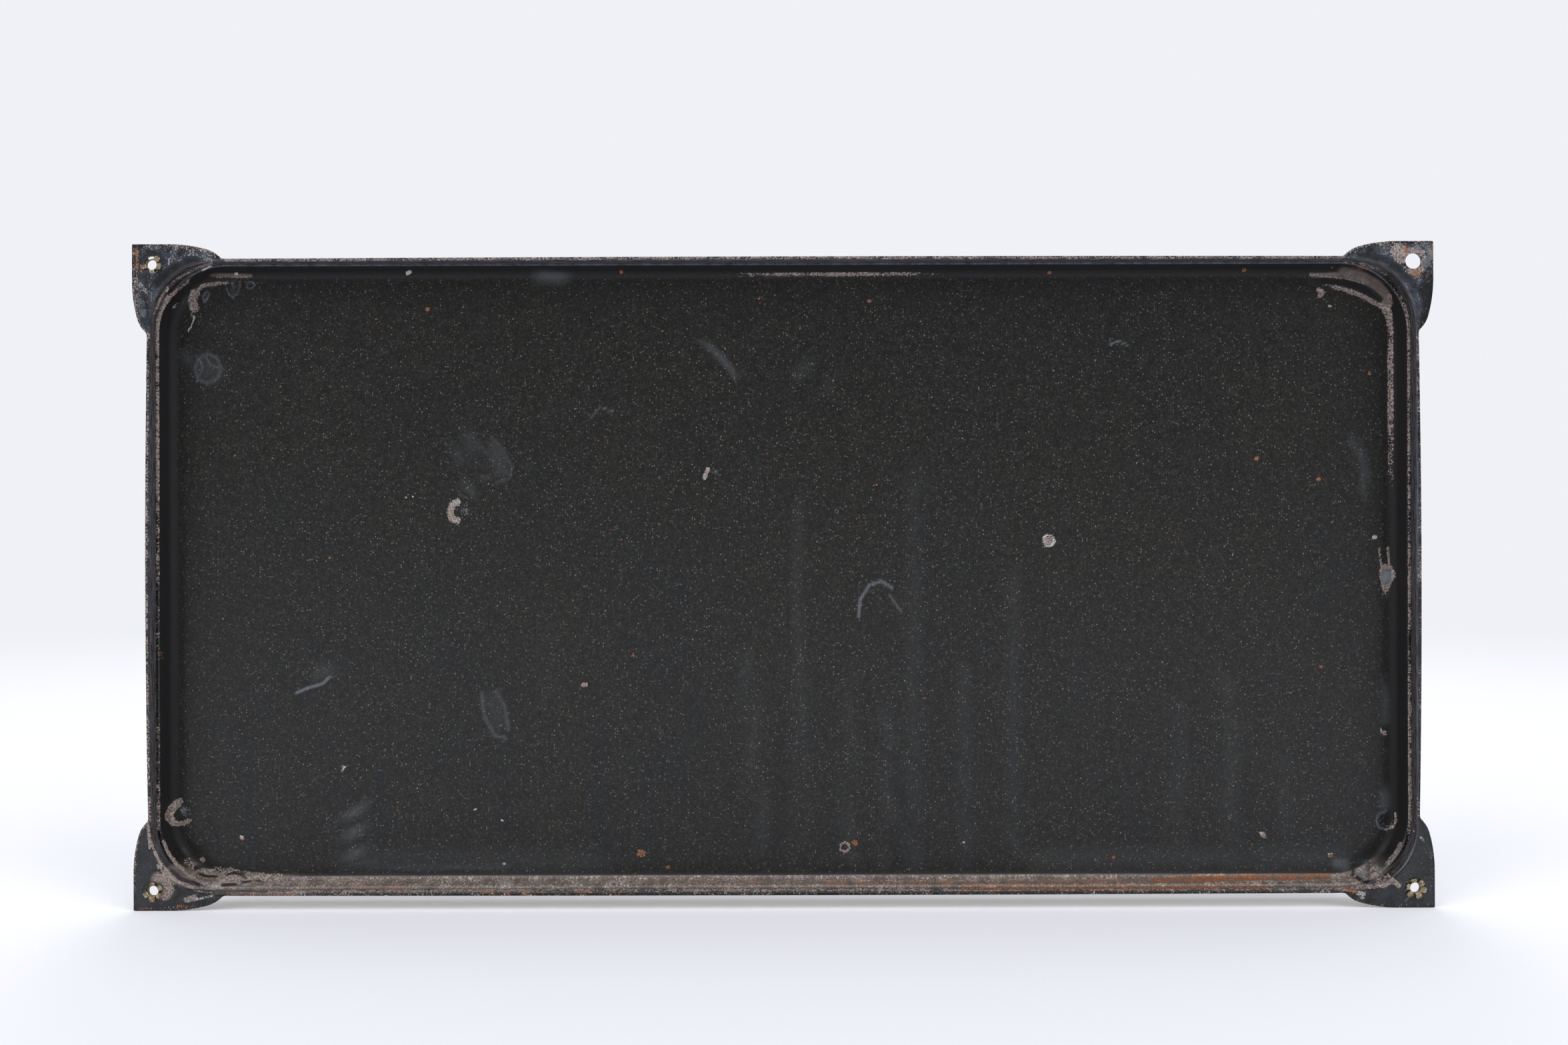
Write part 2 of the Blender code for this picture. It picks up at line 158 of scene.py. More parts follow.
def add(tree, kind, *values, **settings):
    """Adds a node with its settings and returns its first live output. The values fill or
    link its live inputs in order, or by name where they come in a dictionary."""
    node = tree.nodes.new(kind)
    for name, value in settings.items():
        setattr(node, name, value)
    live = [socket for socket in node.inputs if socket.enabled]
    given = list(zip(live, values))
    if values and isinstance(values[0], dict):
        given = [(next(s for s in live if s.name == name), v) for name, v in values[0].items()]
    for socket, value in given:
        if isinstance(value, bpy.types.NodeSocket):
            tree.links.new(value, socket)
        else:
            socket.default_value = value
    return next((socket for socket in node.outputs if socket.enabled), node)


def new_object(name, mesh):
    obj = bpy.data.objects.new(name, mesh)
    bpy.context.scene.collection.objects.link(obj)
    return obj


def object_from_bmesh(bm, name):
    mesh = bpy.data.meshes.new(name)
    bm.to_mesh(mesh)
    bm.free()
    return new_object(name, mesh)


def points_object(name, points):
    """Loose points that carry sizes into a Geometry Nodes tree in their coordinates."""
    mesh = bpy.data.meshes.new(name)
    mesh.from_pydata(points, [], [])
    return new_object(name, mesh)


def set_tree_inputs(modifier, values):
    """Sets a modifier's inputs, each named as in the tree, by their sockets' identifiers."""
    for item in modifier.node_group.interface.items_tree:
        if item.item_type == "SOCKET" and item.in_out == "INPUT" and item.name in values:
            modifier[item.identifier] = values[item.name]


def new_geometry_tree(name, sockets):
    tree = bpy.data.node_groups.new(name, "GeometryNodeTree")
    tree.interface.new_socket("Geometry", in_out="INPUT", socket_type="NodeSocketGeometry")
    for socket_name, kind in sockets:
        tree.interface.new_socket(socket_name, in_out="INPUT", socket_type=kind)
    tree.interface.new_socket("Geometry", in_out="OUTPUT", socket_type="NodeSocketGeometry")
    entry = tree.nodes.new("NodeGroupInput")
    return tree, {s.name: s for s in entry.outputs}


def close_geometry_tree(tree, geometry, material):
    """Every tree ends in Realize Instances and Set Material."""
    real = add(tree, "GeometryNodeRealizeInstances", geometry)
    coated = add(tree, "GeometryNodeSetMaterial", {"Geometry": real, "Material": material})
    exit_node = tree.nodes.new("NodeGroupOutput")
    tree.links.new(coated, exit_node.inputs[0])


def applied(obj, name):
    """The object's finished form as a plain mesh in a new object. The old one is removed."""
    evaluated = obj.evaluated_get(bpy.context.evaluated_depsgraph_get())
    mesh = bpy.data.meshes.new_from_object(evaluated)
    bpy.data.objects.remove(obj)
    mesh.name = name
    return new_object(name, mesh)


# Pressed panel

def rounded_profile(corners):
    """Points along a line whose corners, each (inset, depth, radius), are rounded off by arcs."""
    points = [corners[0][:2]]
    for before, corner, after in zip(corners, corners[1:], corners[2:]):
        x, y, radius = corner
        in_angle = math.atan2(y - before[1], x - before[0])
        out_angle = math.atan2(after[1] - y, after[0] - x)
        turn = out_angle - in_angle
        tangent = radius * math.tan(abs(turn) / 2)
        side = math.copysign(1.0, turn)
        start = (x - tangent * math.cos(in_angle), y - tangent * math.sin(in_angle))
        centre = (start[0] - side * radius * math.sin(in_angle),
                  start[1] + side * radius * math.cos(in_angle))
        for step in range(BEND_STEPS + 1):
            angle = in_angle + turn * step / BEND_STEPS
            points.append((centre[0] + side * radius * math.sin(angle),
                           centre[1] - side * radius * math.cos(angle)))
    points.append(corners[-1][:2])
    return points


def divided(points, longest):
    """The same line with its long runs cut into equal steps."""
    result = [points[0]]
    for first, second in zip(points, points[1:]):
        steps = max(1, math.ceil(math.dist(first, second) / longest))
        for step in range(1, steps + 1):
            share = step / steps
            result.append(tuple(a + (b - a) * share for a, b in zip(first, second)))
    return result


def section_rows():
    """(inset from the rim's bend, depth, corner radius) of each row, from outside the ears inwards."""
    second_wall_inset = LEDGE_INSET + SECOND_WALL_DRAFT
    fillet_end = second_wall_inset + 1.5 * FIELD_FILLET_RADIUS
    section = rounded_profile([
        (-1.2 * RIM_BEND_RADIUS, 0.0, 0.0),
        (0.0, 0.0, RIM_BEND_RADIUS),
        (FIRST_WALL_DRAFT, FIRST_WALL_DEPTH, LEDGE_HOLLOW_RADIUS),
        (LEDGE_INSET, LEDGE_DEPTH, LEDGE_EDGE_RADIUS),
        (second_wall_inset, FIELD_DEPTH, FIELD_FILLET_RADIUS),
        (fillet_end, FIELD_DEPTH, 0.0),
    ])
    rows = []
    for inset, depth in divided(section, WALL_FACET):
        growth = LEDGE_CORNER_GROWTH * min(max(depth / LEDGE_DEPTH, 0.0), 1.0)
        rows.append((inset, depth, RIM_CORNER_RADIUS + growth - inset))
    outer_inset, _, outer_radius = rows[0]
    margin = -RIM_BEND_INSET - 2 * MM
    ear_rows = []
    for step in range(EAR_ROWS):
        share = step / EAR_ROWS
        ear_rows.append((margin + (outer_inset - margin) * share, 0.0, outer_radius * share))
    last_inset, _, last_radius = rows[-1]
    field_edge = last_inset + FIELD_EDGE_WIDTH
    field_line = divided([(last_inset, 0.0), (field_edge, 0.0)], FIELD_EDGE_FACET)
    field_line += divided([(field_edge, 0.0), (RIM_HALF_HEIGHT, 0.0)], FIELD_FACET)[1:]
    field_rows = []
    for inset, _ in field_line[1:]:
        share = (RIM_HALF_HEIGHT - inset) / (RIM_HALF_HEIGHT - last_inset)
        field_rows.append((inset, FIELD_DEPTH, last_radius * share))
    return ear_rows + rows + field_rows


def round_the_rim():
    """(x side, z side, angle) of each column, once round a rectangle of unit half sides."""
    long_steps = round(2 * (RIM_HALF_WIDTH - RIM_CORNER_RADIUS) / SIDE_FACET)
    short_steps = round(2 * (RIM_HALF_HEIGHT - RIM_CORNER_RADIUS) / SIDE_FACET)
    corners = ((1, 1), (-1, 1), (-1, -1), (1, -1))
    points = []
    for quarter, corner in enumerate(corners):
        for step in range(CORNER_STEPS + 1):
            points.append((*corner, math.pi / 2 * (quarter + step / CORNER_STEPS)))
        following = corners[(quarter + 1) % 4]
        steps = (long_steps, short_steps)[quarter % 2]
        for step in range(1, steps):
            x, z = (a + (b - a) * step / steps for a, b in zip(corner, following))
            points.append((x, z, math.pi / 2 * (quarter + 1)))
    points.append((1, 1, math.pi * 2))
    return points


def pressing_tree(material):
    """Lays a grid over the section's rows and the rim's columns and bends it into the pan."""
    tree, given = new_geometry_tree("pressed pan", (
        ("Rim", "NodeSocketObject"), ("Half Width", "NodeSocketFloat"),
        ("Half Height", "NodeSocketFloat"), ("Ear Plane", "NodeSocketFloat"),
        ("Merge Distance", "NodeSocketFloat")))
    section = given["Geometry"]
    rim = add(tree, "GeometryNodeObjectInfo", {"Object": given["Rim"]}).node.outputs["Geometry"]
    rows = add(tree, "GeometryNodeAttributeDomainSize", section, component="MESH")
    columns = add(tree, "GeometryNodeAttributeDomainSize", rim, component="MESH")
    grid = add(tree, "GeometryNodeMeshGrid", {"Vertices X": rows, "Vertices Y": columns})
    index = add(tree, "GeometryNodeInputIndex")
    row = add(tree, MATH, add(tree, MATH, index, columns, operation="DIVIDE"), operation="FLOOR")
    column = add(tree, MATH, index, columns, operation="MODULO")
    place = add(tree, "GeometryNodeInputPosition")
    read = {"data_type": "FLOAT_VECTOR", "domain": "POINT"}
    row_at = add(tree, "GeometryNodeSampleIndex", section, place, row, **read)
    column_at = add(tree, "GeometryNodeSampleIndex", rim, place, column, **read)
    inset, depth, radius = add(tree, "ShaderNodeSeparateXYZ", row_at).node.outputs
    side_x, side_z, angle = add(tree, "ShaderNodeSeparateXYZ", column_at).node.outputs
    reach = add(tree, MATH, inset, radius)
    axes = []
    for side, half, wave in ((side_x, "Half Width", "COSINE"), (side_z, "Half Height", "SINE")):
        centre = add(tree, MATH, given[half], reach, operation="SUBTRACT")
        centre = add(tree, MATH, side, centre, operation="MULTIPLY")
        turn = add(tree, MATH, angle, operation=wave)
        axes.append(add(tree, MATH, turn, radius, centre, operation="MULTIPLY_ADD"))
    level = add(tree, MATH, depth, given["Ear Plane"])
    point = add(tree, "ShaderNodeCombineXYZ", axes[0], level, axes[1])
    bent = add(tree, "GeometryNodeSetPosition", {"Geometry": grid, "Position": point})
    closed = add(tree, "GeometryNodeMergeByDistance", {
        "Geometry": bent, "Distance": given["Merge Distance"]})
    close_geometry_tree(tree, closed, material)
    return tree


def ear_edge():
    """(distance along a side from the ear's corner, depth below the ear's edge) to the rim."""
    points = [(EAR_STRAIGHT, 0.0)]
    for step in range(1, ARC_STEPS + 1):
        angle = EAR_TAPER_ANGLE * step / ARC_STEPS
        points.append((EAR_STRAIGHT + EAR_TAPER_RADIUS * math.sin(angle),
                       EAR_TAPER_RADIUS * (1 - math.cos(angle))))
    taper_end, taper_drop = points[-1]
    level = EAR_SHOULDER_RADIUS * math.cos(EAR_TAPER_ANGLE) + EAR_NECK_RADIUS
    level -= EAR_STANDS_OUT - taper_drop
    steepest = math.acos(level / (EAR_SHOULDER_RADIUS + EAR_NECK_RADIUS))
    for step in range(1, ARC_STEPS + 1):
        angle = EAR_TAPER_ANGLE + (steepest - EAR_TAPER_ANGLE) * step / ARC_STEPS
        across = math.sin(angle) - math.sin(EAR_TAPER_ANGLE)
        down = math.cos(EAR_TAPER_ANGLE) - math.cos(angle)
        points.append((taper_end + EAR_SHOULDER_RADIUS * across,
                       taper_drop + EAR_SHOULDER_RADIUS * down))
    shoulder_end, shoulder_drop = points[-1]
    for step in range(1, ARC_STEPS + 1):
        angle = steepest * (1 - step / ARC_STEPS)
        across = math.sin(steepest) - math.sin(angle)
        down = math.cos(angle) - math.cos(steepest)
        points.append((shoulder_end + EAR_NECK_RADIUS * across,
                       shoulder_drop + EAR_NECK_RADIUS * down))
    return points


def outline_points():
    """The trimmed outline as (x, z), counter-clockwise from the lower left corner."""
    half_x, half_z = SIGN_WIDTH / 2, SIGN_HEIGHT / 2
    sides = ((SIGN_WIDTH, LONG_SIDE_BOW, -half_x, -half_z), (SIGN_HEIGHT, SHORT_SIDE_BOW, half_x, -half_z),
             (SIGN_WIDTH, LONG_SIDE_BOW, half_x, half_z), (SIGN_HEIGHT, SHORT_SIDE_BOW, -half_x, half_z))
    points = []
    for quarter, (length, bow, x, z) in enumerate(sides):
        cos, sin = ((1, 0), (0, 1), (-1, 0), (0, -1))[quarter]
        ear = ear_edge()
        corner = []
        for step in range(5):
            angle = math.pi / 2 * (1 - step / 4)
            corner.append((EAR_CORNER_RADIUS * (1 - math.sin(angle)),
                           EAR_CORNER_RADIUS * (1 - math.cos(angle))))
        half_rim = length / 2 - ear[-1][0]
        rim = []
        for step in range(1, 2 * ARC_STEPS):
            along = step / ARC_STEPS - 1
            rim.append((length / 2 + along * half_rim, EAR_STANDS_OUT - bow * (1 - along ** 2)))
        far = [(length - s, drop) for s, drop in reversed(ear)]
        for s, drop in corner + ear + rim + far:
            points.append((x + cos * s - sin * drop, z + sin * s + cos * drop))
    return points


def hole_centres():
    x = SIGN_WIDTH / 2 - HOLE_INSET
    z = SIGN_HEIGHT / 2 - HOLE_INSET
    return {"upper_left": (-x, z), "upper_right": (x, z), "lower_left": (-x, -z), "lower_right": (x, -z)}


def block(name, points, front, back):
    """A prism along Y on an outline of (x, z) points."""
    bm = bmesh.new()
    face = bm.faces.new([bm.verts.new((x, front, z)) for x, z in points])
    made = bmesh.ops.extrude_face_region(bm, geom=[face])
    moved = [v for v in made["geom"] if isinstance(v, bmesh.types.BMVert)]
    bmesh.ops.translate(bm, verts=moved, vec=(0.0, back - front, 0.0))
    bmesh.ops.recalc_face_normals(bm, faces=bm.faces)
    return object_from_bmesh(bm, name)


def hole_punches():
    bm = bmesh.new()
    for x, z in hole_centres().values():
        circle = [(x + HOLE_RADIUS * math.cos(2 * math.pi * i / HOLE_SIDES),
                   z + HOLE_RADIUS * math.sin(2 * math.pi * i / HOLE_SIDES)) for i in range(HOLE_SIDES)]
        face = bm.faces.new([bm.verts.new((px, EAR_BACK - 2 * MM, pz)) for px, pz in circle])
        made = bmesh.ops.extrude_face_region(bm, geom=[face])
        moved = [v for v in made["geom"] if isinstance(v, bmesh.types.BMVert)]
        bmesh.ops.translate(bm, verts=moved, vec=(0.0, 6 * MM, 0.0))
    bmesh.ops.recalc_face_normals(bm, faces=bm.faces)
    return object_from_bmesh(bm, "hole punches")


def make_panel(back_enamel, front_enamel):
    section = points_object("pressed panel", section_rows())
    rim = points_object("rim columns", round_the_rim())
    press = section.modifiers.new("Press", "NODES")
    press.node_group = pressing_tree(back_enamel)
    set_tree_inputs(press, {
        "Rim": rim, "Half Width": RIM_HALF_WIDTH, "Half Height": RIM_HALF_HEIGHT,
        "Ear Plane": EAR_BACK, "Merge Distance": MERGE_DISTANCE})
    pressed = applied(section, "pressed_panel")
    bpy.data.objects.remove(rim)
    pressed.data.materials.clear()
    pressed.data.materials.append(back_enamel)
    pressed.data.materials.append(front_enamel)
    pressed.data.polygons.foreach_set("material_index", [1] * len(pressed.data.polygons))
    sheet = pressed.modifiers.new("Sheet", "SOLIDIFY")
    sheet.thickness = SHEET_THICKNESS
    sheet.offset = 1.0
    sheet.use_even_offset = True
    sheet.material_offset = -1
    sheet.material_offset_rim = -1
    sheet.use_rim = True
    blank = block("trimmed blank", outline_points(), EAR_BACK - 20 * MM, DISPLAY_FACE + 20 * MM)
    punches = hole_punches()
    for tool, operation in ((blank, "INTERSECT"), (punches, "DIFFERENCE")):
        cut = pressed.modifiers.new(operation.title(), "BOOLEAN")
        cut.operation = operation
        cut.object = tool
        cut.solver = "EXACT"
    panel = applied(pressed, "pressed_panel")
    bpy.data.objects.remove(blank)
    bpy.data.objects.remove(punches)
    return panel


# Wear and some painted light, placed in the photograph's own pixels. A stroke is a layer, half its width in
# pixels, its strength and the points that it runs through. Burnt enamel is pink-tan and
# granular, scorched enamel pink-brown and smooth, rust orange, bare places blue-grey, pale
# ones cream flakes, steel a bluish film and haze dust; a few scorch, steel, pale and bare
# strokes also carry painted light, said where they stand. Black is a darker coat over what
# came before: unworn enamel and stains in marks, and painted shade on the walls inside the
# pan. Shine has no colour and only makes the enamel glassier. Relief is in hundredths of
# a millimetre, raised towards the camera

STROKES = {
    # Upper right corner
    "scorched band along the rim, upper right": ("burnt", 2.6, 0.5, (
        (2018, 393), (2050, 397), (2066, 403), (2080, 413))),
    "brown patch on the rim, upper right": ("rust", 3.5, 0.4, ((2028, 402), (2052, 402))),
    "white grains, upper right": ("pale", 2.5, 0.6, ((2008, 430), (2036, 438), (2060, 453))),
    "rust spot, upper right": ("burnt", 4, 1.0, ((1978, 435), (1984, 438), (1980, 443))),
    "pale blob, upper right": ("pale", 3, 0.8, ((1994, 459), (1995, 460))),
    "rust below the bare hole": ("rust", 7, 0.5, ((2110, 406), (2124, 410), (2138, 411), (2149, 420))),
    "scale round the bare hole": ("burnt", 5, 0.8, (
        (2104, 391), (2109, 378), (2121, 374), (2133, 379), (2138, 391), (2134, 404), (2121, 409),
        (2108, 404))),
    "thin enamel above the bare hole": ("bare", 4, 0.9, ((2124, 370), (2129, 373))),
    "thin enamel right of the bare hole": ("bare", 4.5, 0.9, ((2138, 393), (2139, 398))),
    "speckled top of the upper right ear": ("burnt", 7, 0.46, ((2060, 366), (2100, 367), (2146, 366))),
    "speckled side of the upper right ear": ("burnt", 5, 0.45, ((2147, 368), (2147, 400), (2141, 440))),
    "flecks low on the upper right ear": ("pale", 6, 0.3, ((2132, 440), (2140, 462), (2136, 478))),
    "blue blob on the lip": ("bare", 2.5, 1.0, ((2001, 388), (2009, 388))),
    # Scorched enamel and painted light: the lit part of the corner wall is painted a lighter pink-brown
    "lit wall, upper right": ("scorch", 8, 0.82, (
        (2016, 409), (2044, 416), (2064, 427), (2076, 441), (2080, 453))),
    "granular edge of the lit wall": ("burnt", 2.4, 0.85, (
        (1966, 411), (1990, 415), (2020, 419), (2044, 427), (2062, 438), (2072, 450))),
    # Painted sheen: a bluish steel tone where the wall mirrors the light
    "painted violet sheen on the wall, upper right": ("steel", 4, 0.5, (
        (2020, 405), (2044, 411), (2064, 424), (2076, 438))),
    # Painted shade on the second wall round the corner, carrying on the top's black band
    "black tongue, upper right": ("black", 5, 1.0, (
        (1984, 421), (2020, 425), (2046, 432), (2062, 442), (2070, 449))),
    "granular strip inside the wall, upper right": ("burnt", 4.0, 0.95, (
        (2002, 431), (2020, 435), (2041, 443), (2058, 452), (2075, 461), (2084, 467), (2087, 500))),
    "granular end of the lit wall": ("burnt", 4, 0.85, ((2084, 444), (2086, 456), (2080, 463))),
    "tan patch left of the bare hole": ("burnt", 13, 0.78, ((2098, 376), (2101, 384))),
    "cream heart of the tan patch": ("pale", 9, 0.52, ((2094, 372), (2102, 386))),
    "rust beside the bare hole": ("rust", 3, 0.62, ((2108, 366), (2110, 378))),
    "glassy line on the rim's bend, upper right": ("shine", 0.8, 0.17, (
        (2040, 390), (2056, 393), (2077, 401), (2097, 415), (2114, 434), (2128, 462), (2134, 482))),
    "glassy line on the ledge, upper right": ("shine", 0.8, 0.22, (
        (2082, 428), (2092, 435), (2103, 447), (2115, 464), (2124, 482))),
    # Painted highlight: a pale tone along the ear's top
    "painted highlight on the upper right ear's top": ("pale", 3, 0.34, ((2034, 374), (2054, 370), (2078, 367))),
    "its pale top, upper right": ("pale", 1.6, 0.8, ((1976, 435), (1984, 436))),
    "cream flecks below the bare hole": ("pale", 7, 0.42, ((2118, 410), (2134, 416), (2148, 412))),
    "blue-white flecks right of the bare hole": ("bare", 5, 0.75, (
        (2138, 368), (2146, 380), (2140, 396))),
    "rust right of the bare hole": ("rust", 3, 0.5, ((2149, 372), (2150, 386))),
    # Scorched enamel and painted light, as on the lit wall
    "start of the lit wall": ("scorch", 3.4, 0.8, ((1968, 413), (1990, 413), (2016, 411))),
    # Painted shade: the top wall is blackened above the lit wall
    "painted shade above the lit wall": ("black", 3.4, 0.9, ((1966, 404), (1984, 404), (2006, 400))),
    "pale grains of that strip": ("pale", 3.0, 0.55, (
        (1990, 428), (2010, 431), (2040, 442), (2062, 453), (2084, 467))),
    "dark lower half of the upper right ear": ("black", 11, 0.85, (
        (2138, 434), (2146, 452), (2142, 474))),
    "dark left half of the upper right ear": ("black", 5, 0.62, (
        (2040, 384), (2062, 384), (2084, 392), (2104, 408), (2122, 428))),
    "glassy spot beside the bare hole": ("shine", 1.4, 0.5, ((2136, 366), (2142, 372))),
    "second glassy spot beside the bare hole": ("shine", 1.5, 0.45, ((2143, 398), (2148, 392))),
    "glassy spot by the ear's foot, upper right": ("shine", 1.4, 0.4, ((2158, 478), (2152, 486))),
    "brown heart of the lit wall": ("rust", 3, 0.22, ((2030, 404), (2054, 410))),
    "grains low on the upper right ear": ("burnt", 7, 0.3, ((2134, 436), (2142, 462), (2138, 476))),
    # Upper left corner
    "scorched band along the rim, upper left": ("burnt", 2.2, 0.7, (
        (232, 470), (240, 449), (249, 434), (263, 420), (279, 411), (298, 401), (318, 395))),
    "strip inside the wall, upper left": ("burnt", 2.8, 0.8, (
        (235, 499), (240, 471), (249, 454), (260, 441), (275, 428), (287, 419))),
    "brown wall, upper left": ("scorch", 2.6, 0.62, ((317, 412), (340, 413), (376, 414))),
    "granular edge of the brown wall": ("burnt", 1.5, 0.6, ((322, 416), (345, 416), (372, 416))),
    "brown patches, upper left": ("rust", 3.5, 0.34, ((358, 414), (374, 413))),
    "peeled patches, upper left": ("burnt", 7.5, 0.85, ((292, 440), (288, 452), (292, 462))),
    "flecks in the peeled patches": ("pale", 2.4, 0.6, ((283, 447), (289, 464), (286, 478))),
    "thin oval, upper left": ("bare", 3.6, 0.45, ((310, 441), (308, 449))),
    "raised oval, upper left": ("relief", 5, 14, ((309, 441), (309, 451))),
    "drips' pale tongue": ("burnt", 3.0, 0.8, ((299, 433), (306, 428), (324, 426), (341, 424))),
    "first drip": ("relief", 1.8, 16, ((339, 418), (342, 436), (350, 445), (357, 436), (360, 419))),
    "second drip": ("relief", 1.6, 11, ((346, 418), (350, 430), (354, 418))),
    "small ring": ("relief", 1.5, 10, (
        (369, 428), (371, 423), (376, 421), (381, 423), (383, 428), (381, 433), (376, 435), (371, 433),
        (369, 428))),
    "flecks on the wall, upper left": ("pale", 1.8, 0.9, ((249, 438), (253, 432))),
    "flecks on the top wall, upper left": ("pale", 1.8, 0.9, ((303, 406), (317, 399))),
    "rust on the upper left ear's edge": ("rust", 3.5, 0.72, ((205, 376), (205, 402))),
    "scar round the upper left eyelet": ("rust", 2.2, 0.6, (
        (213, 409), (211, 398), (214, 388), (221, 383))),
    "speckled top of the upper left ear": ("burnt", 6, 0.5, (
        (204, 371), (250, 370), (300, 373), (345, 379))),
    "speckled side of the upper left ear": ("burnt", 5, 0.5, ((202, 372), (203, 420), (212, 470))),
    "dust on the upper left ear": ("pale", 14, 0.42, ((222, 384), (262, 384), (310, 388))),
    "tan mottling on the upper left ear": ("burnt", 8, 0.42, (
        (222, 420), (216, 440), (250, 392), (300, 380))),
    "glassy line on the rim's bend, upper left": ("shine", 1.0, 0.26, (
        (228, 461), (236, 445), (245, 430), (259, 416), (275, 408), (296, 397), (311, 392))),
    "glassy line on the ledge, upper left": ("shine", 1.0, 0.2, (
        (241, 466), (254, 445), (266, 432), (280, 420))),
    "glassy spot on the wall, upper left": ("shine", 1.8, 0.8, ((312, 400), (319, 398))),
    "smaller glassy spot, upper left": ("shine", 1.3, 0.6, ((303, 405), (305, 404))),
    "glassy spot on the bend, upper left": ("shine", 1.4, 0.8, ((252, 433), (254, 430))),
    "glassy spot on the ledge, upper left": ("shine", 1.1, 0.6, ((282, 417), (284, 415))),
    "glassy spot low on the upper left ear": ("shine", 1.4, 0.55, ((221, 478), (218, 497))),
    "cream patch under the upper left eyelet": ("pale", 4.2, 0.62, ((211, 427), (219, 438))),
    "dark ground of the upper left ear": ("black", 8, 0.65, ((240, 424), (262, 404), (292, 392))),
    "dark ring round the upper left eyelet": ("black", 4, 0.6, (
        (212, 392), (222, 380), (238, 381), (247, 393))),
    "first drip's outline": ("haze", 1.0, 0.2, (
        (340, 432), (343, 441), (349, 446), (356, 441), (359, 430), (360, 422))),
    "second drip's outline": ("haze", 1.2, 0.16, ((347, 420), (349, 430), (353, 420))),
    "oval's outline": ("haze", 0.9, 0.26, (
        (309, 436), (304, 445), (306, 454), (311, 449), (314, 440), (309, 436))),
    "small ring's outline": ("haze", 1.0, 0.22, (
        (370, 428), (372, 424), (376, 422), (380, 424), (382, 428), (379, 432), (375, 433), (371, 432),
        (370, 428))),
    "flecks by the small ring": ("pale", 2.5, 0.5, ((386, 424), (390, 432))),
    "olive flecks inside the wall": ("pale", 3, 0.5, ((258, 470), (261, 460), (266, 454))),
    "flake under the peeled patches": ("pale", 1.6, 0.9, ((292, 474), (288, 486), (282, 497))),
    "flakes in the peeled patches": ("pale", 5, 0.34, ((286, 444), (288, 458), (296, 468))),
    "rust patches on the upper left ear": ("rust", 4, 0.2, ((208, 440), (212, 470))),
    # Painted reflection: a blue-grey tone low on the ear
    "painted blue reflection low on the upper left ear": ("bare", 6.5, 0.8, ((211, 450), (214, 470))),
    # Painted shade: the top wall is blackened in the upper left corner, down to its foot
    "dark wall, upper left": ("black", 4, 0.9, ((288, 422), (304, 414), (320, 406), (346, 404))),
    "dark wall's foot, upper left": ("black", 2.2, 0.7, ((292, 427), (306, 421), (326, 419))),
    "cream spot on the brown wall": ("pale", 2.2, 0.8, ((353, 411), (356, 411))),
    "tongue's cream end": ("pale", 2.2, 0.6, ((330, 425), (348, 425))),
    "first drip's skin": ("haze", 4, 0.06, ((349, 430), (349, 440))),
    "thin rust line on the upper left ear": ("rust", 1.2, 0.6, ((206, 428), (213, 421), (220, 414))),
    "thin rust line low on the upper left ear": ("rust", 1.2, 0.6, ((212, 440), (219, 449), (225, 462))),
    "pale top edge of the upper left ear": ("pale", 3.4, 0.4, ((236, 371), (270, 372), (312, 378))),
    "rust by the rim, upper left": ("rust", 1.2, 0.5, ((246, 413), (258, 412))),
    # Lower left corner
    "brown band on the rim, lower left": ("burnt", 2.4, 0.9, (
        (226, 1262), (232, 1278), (237, 1290), (245, 1300), (256, 1311))),
    "brown ledge, lower left": ("burnt", 3, 0.85, ((245, 1262), (254, 1282), (264, 1295), (276, 1305))),
    "pink strip on the lip, lower left": ("burnt", 2.5, 0.9, ((222, 1236), (225, 1272))),
    "bare steel on the lower left ear": ("burnt", 10, 0.66, ((240, 1317), (254, 1330), (248, 1342))),
    "orange spots on the lower left ear": ("rust", 2.8, 0.62, ((267, 1359), (274, 1360), (281, 1361))),
    "pinkish band, lower left": ("burnt", 4.2, 0.8, (
        (238, 1299), (249, 1311), (267, 1322), (284, 1329), (302, 1335))),
    "pinkish steel, lower left": ("scorch", 9, 0.8, ((236, 1318), (250, 1330), (248, 1342))),
    "pinkish patches, lower left": ("burnt", 7, 0.66, (
        (281, 1292), (296, 1303), (340, 1308), (374, 1314), (420, 1317))),
    "pinkish wall, lower left": ("scorch", 14, 0.9, ((262, 1312), (300, 1322), (360, 1326), (440, 1328))),
    "light area on the lower wall": ("pale", 8, 0.6, ((302, 1328), (336, 1328))),
    "pink spot, lower left": ("burnt", 4, 1.0, ((303, 1290), (304, 1290))),
    "scar round the lower left eyelet": ("pale", 1.2, 0.35, (
        (212, 1332), (218, 1324), (228, 1321), (238, 1325))),
    "speckled foot of the lower left ear": ("burnt", 3, 0.4, ((200, 1363), (250, 1363), (300, 1360))),
    "rusty foot of the lower left ear": ("rust", 3, 0.5, ((200, 1358), (203, 1363), (240, 1364))),
    "speckled side of the lower left ear": ("burnt", 2.5, 0.35, ((200, 1300), (200, 1360))),
    "dimple, lower left": ("relief", 10, -32, ((278, 1217), (279, 1217))),
    "thin enamel in the dimple, lower left": ("bare", 9, 0.7, ((278, 1217), (279, 1218))),
    "glassy wall, lower left": ("shine", 3.4, 0.85, ((239, 1273), (244, 1286), (252, 1300))),
    "glassy line on the rim's bend, lower left": ("shine", 1.2, 0.85, (
        (228, 1284), (234, 1294), (241, 1304))),
    "glassy line on the ledge, lower left": ("shine", 1.2, 0.85, (
        (241, 1263), (247, 1276), (254, 1288), (264, 1301))),
    "curved chip, lower left": ("burnt", 6.3, 0.95, ((266, 1205), (256, 1216), (253, 1225), (260, 1234))),
    "curved chip's upper end": ("burnt", 4.5, 0.9, ((271, 1202), (262, 1209))),
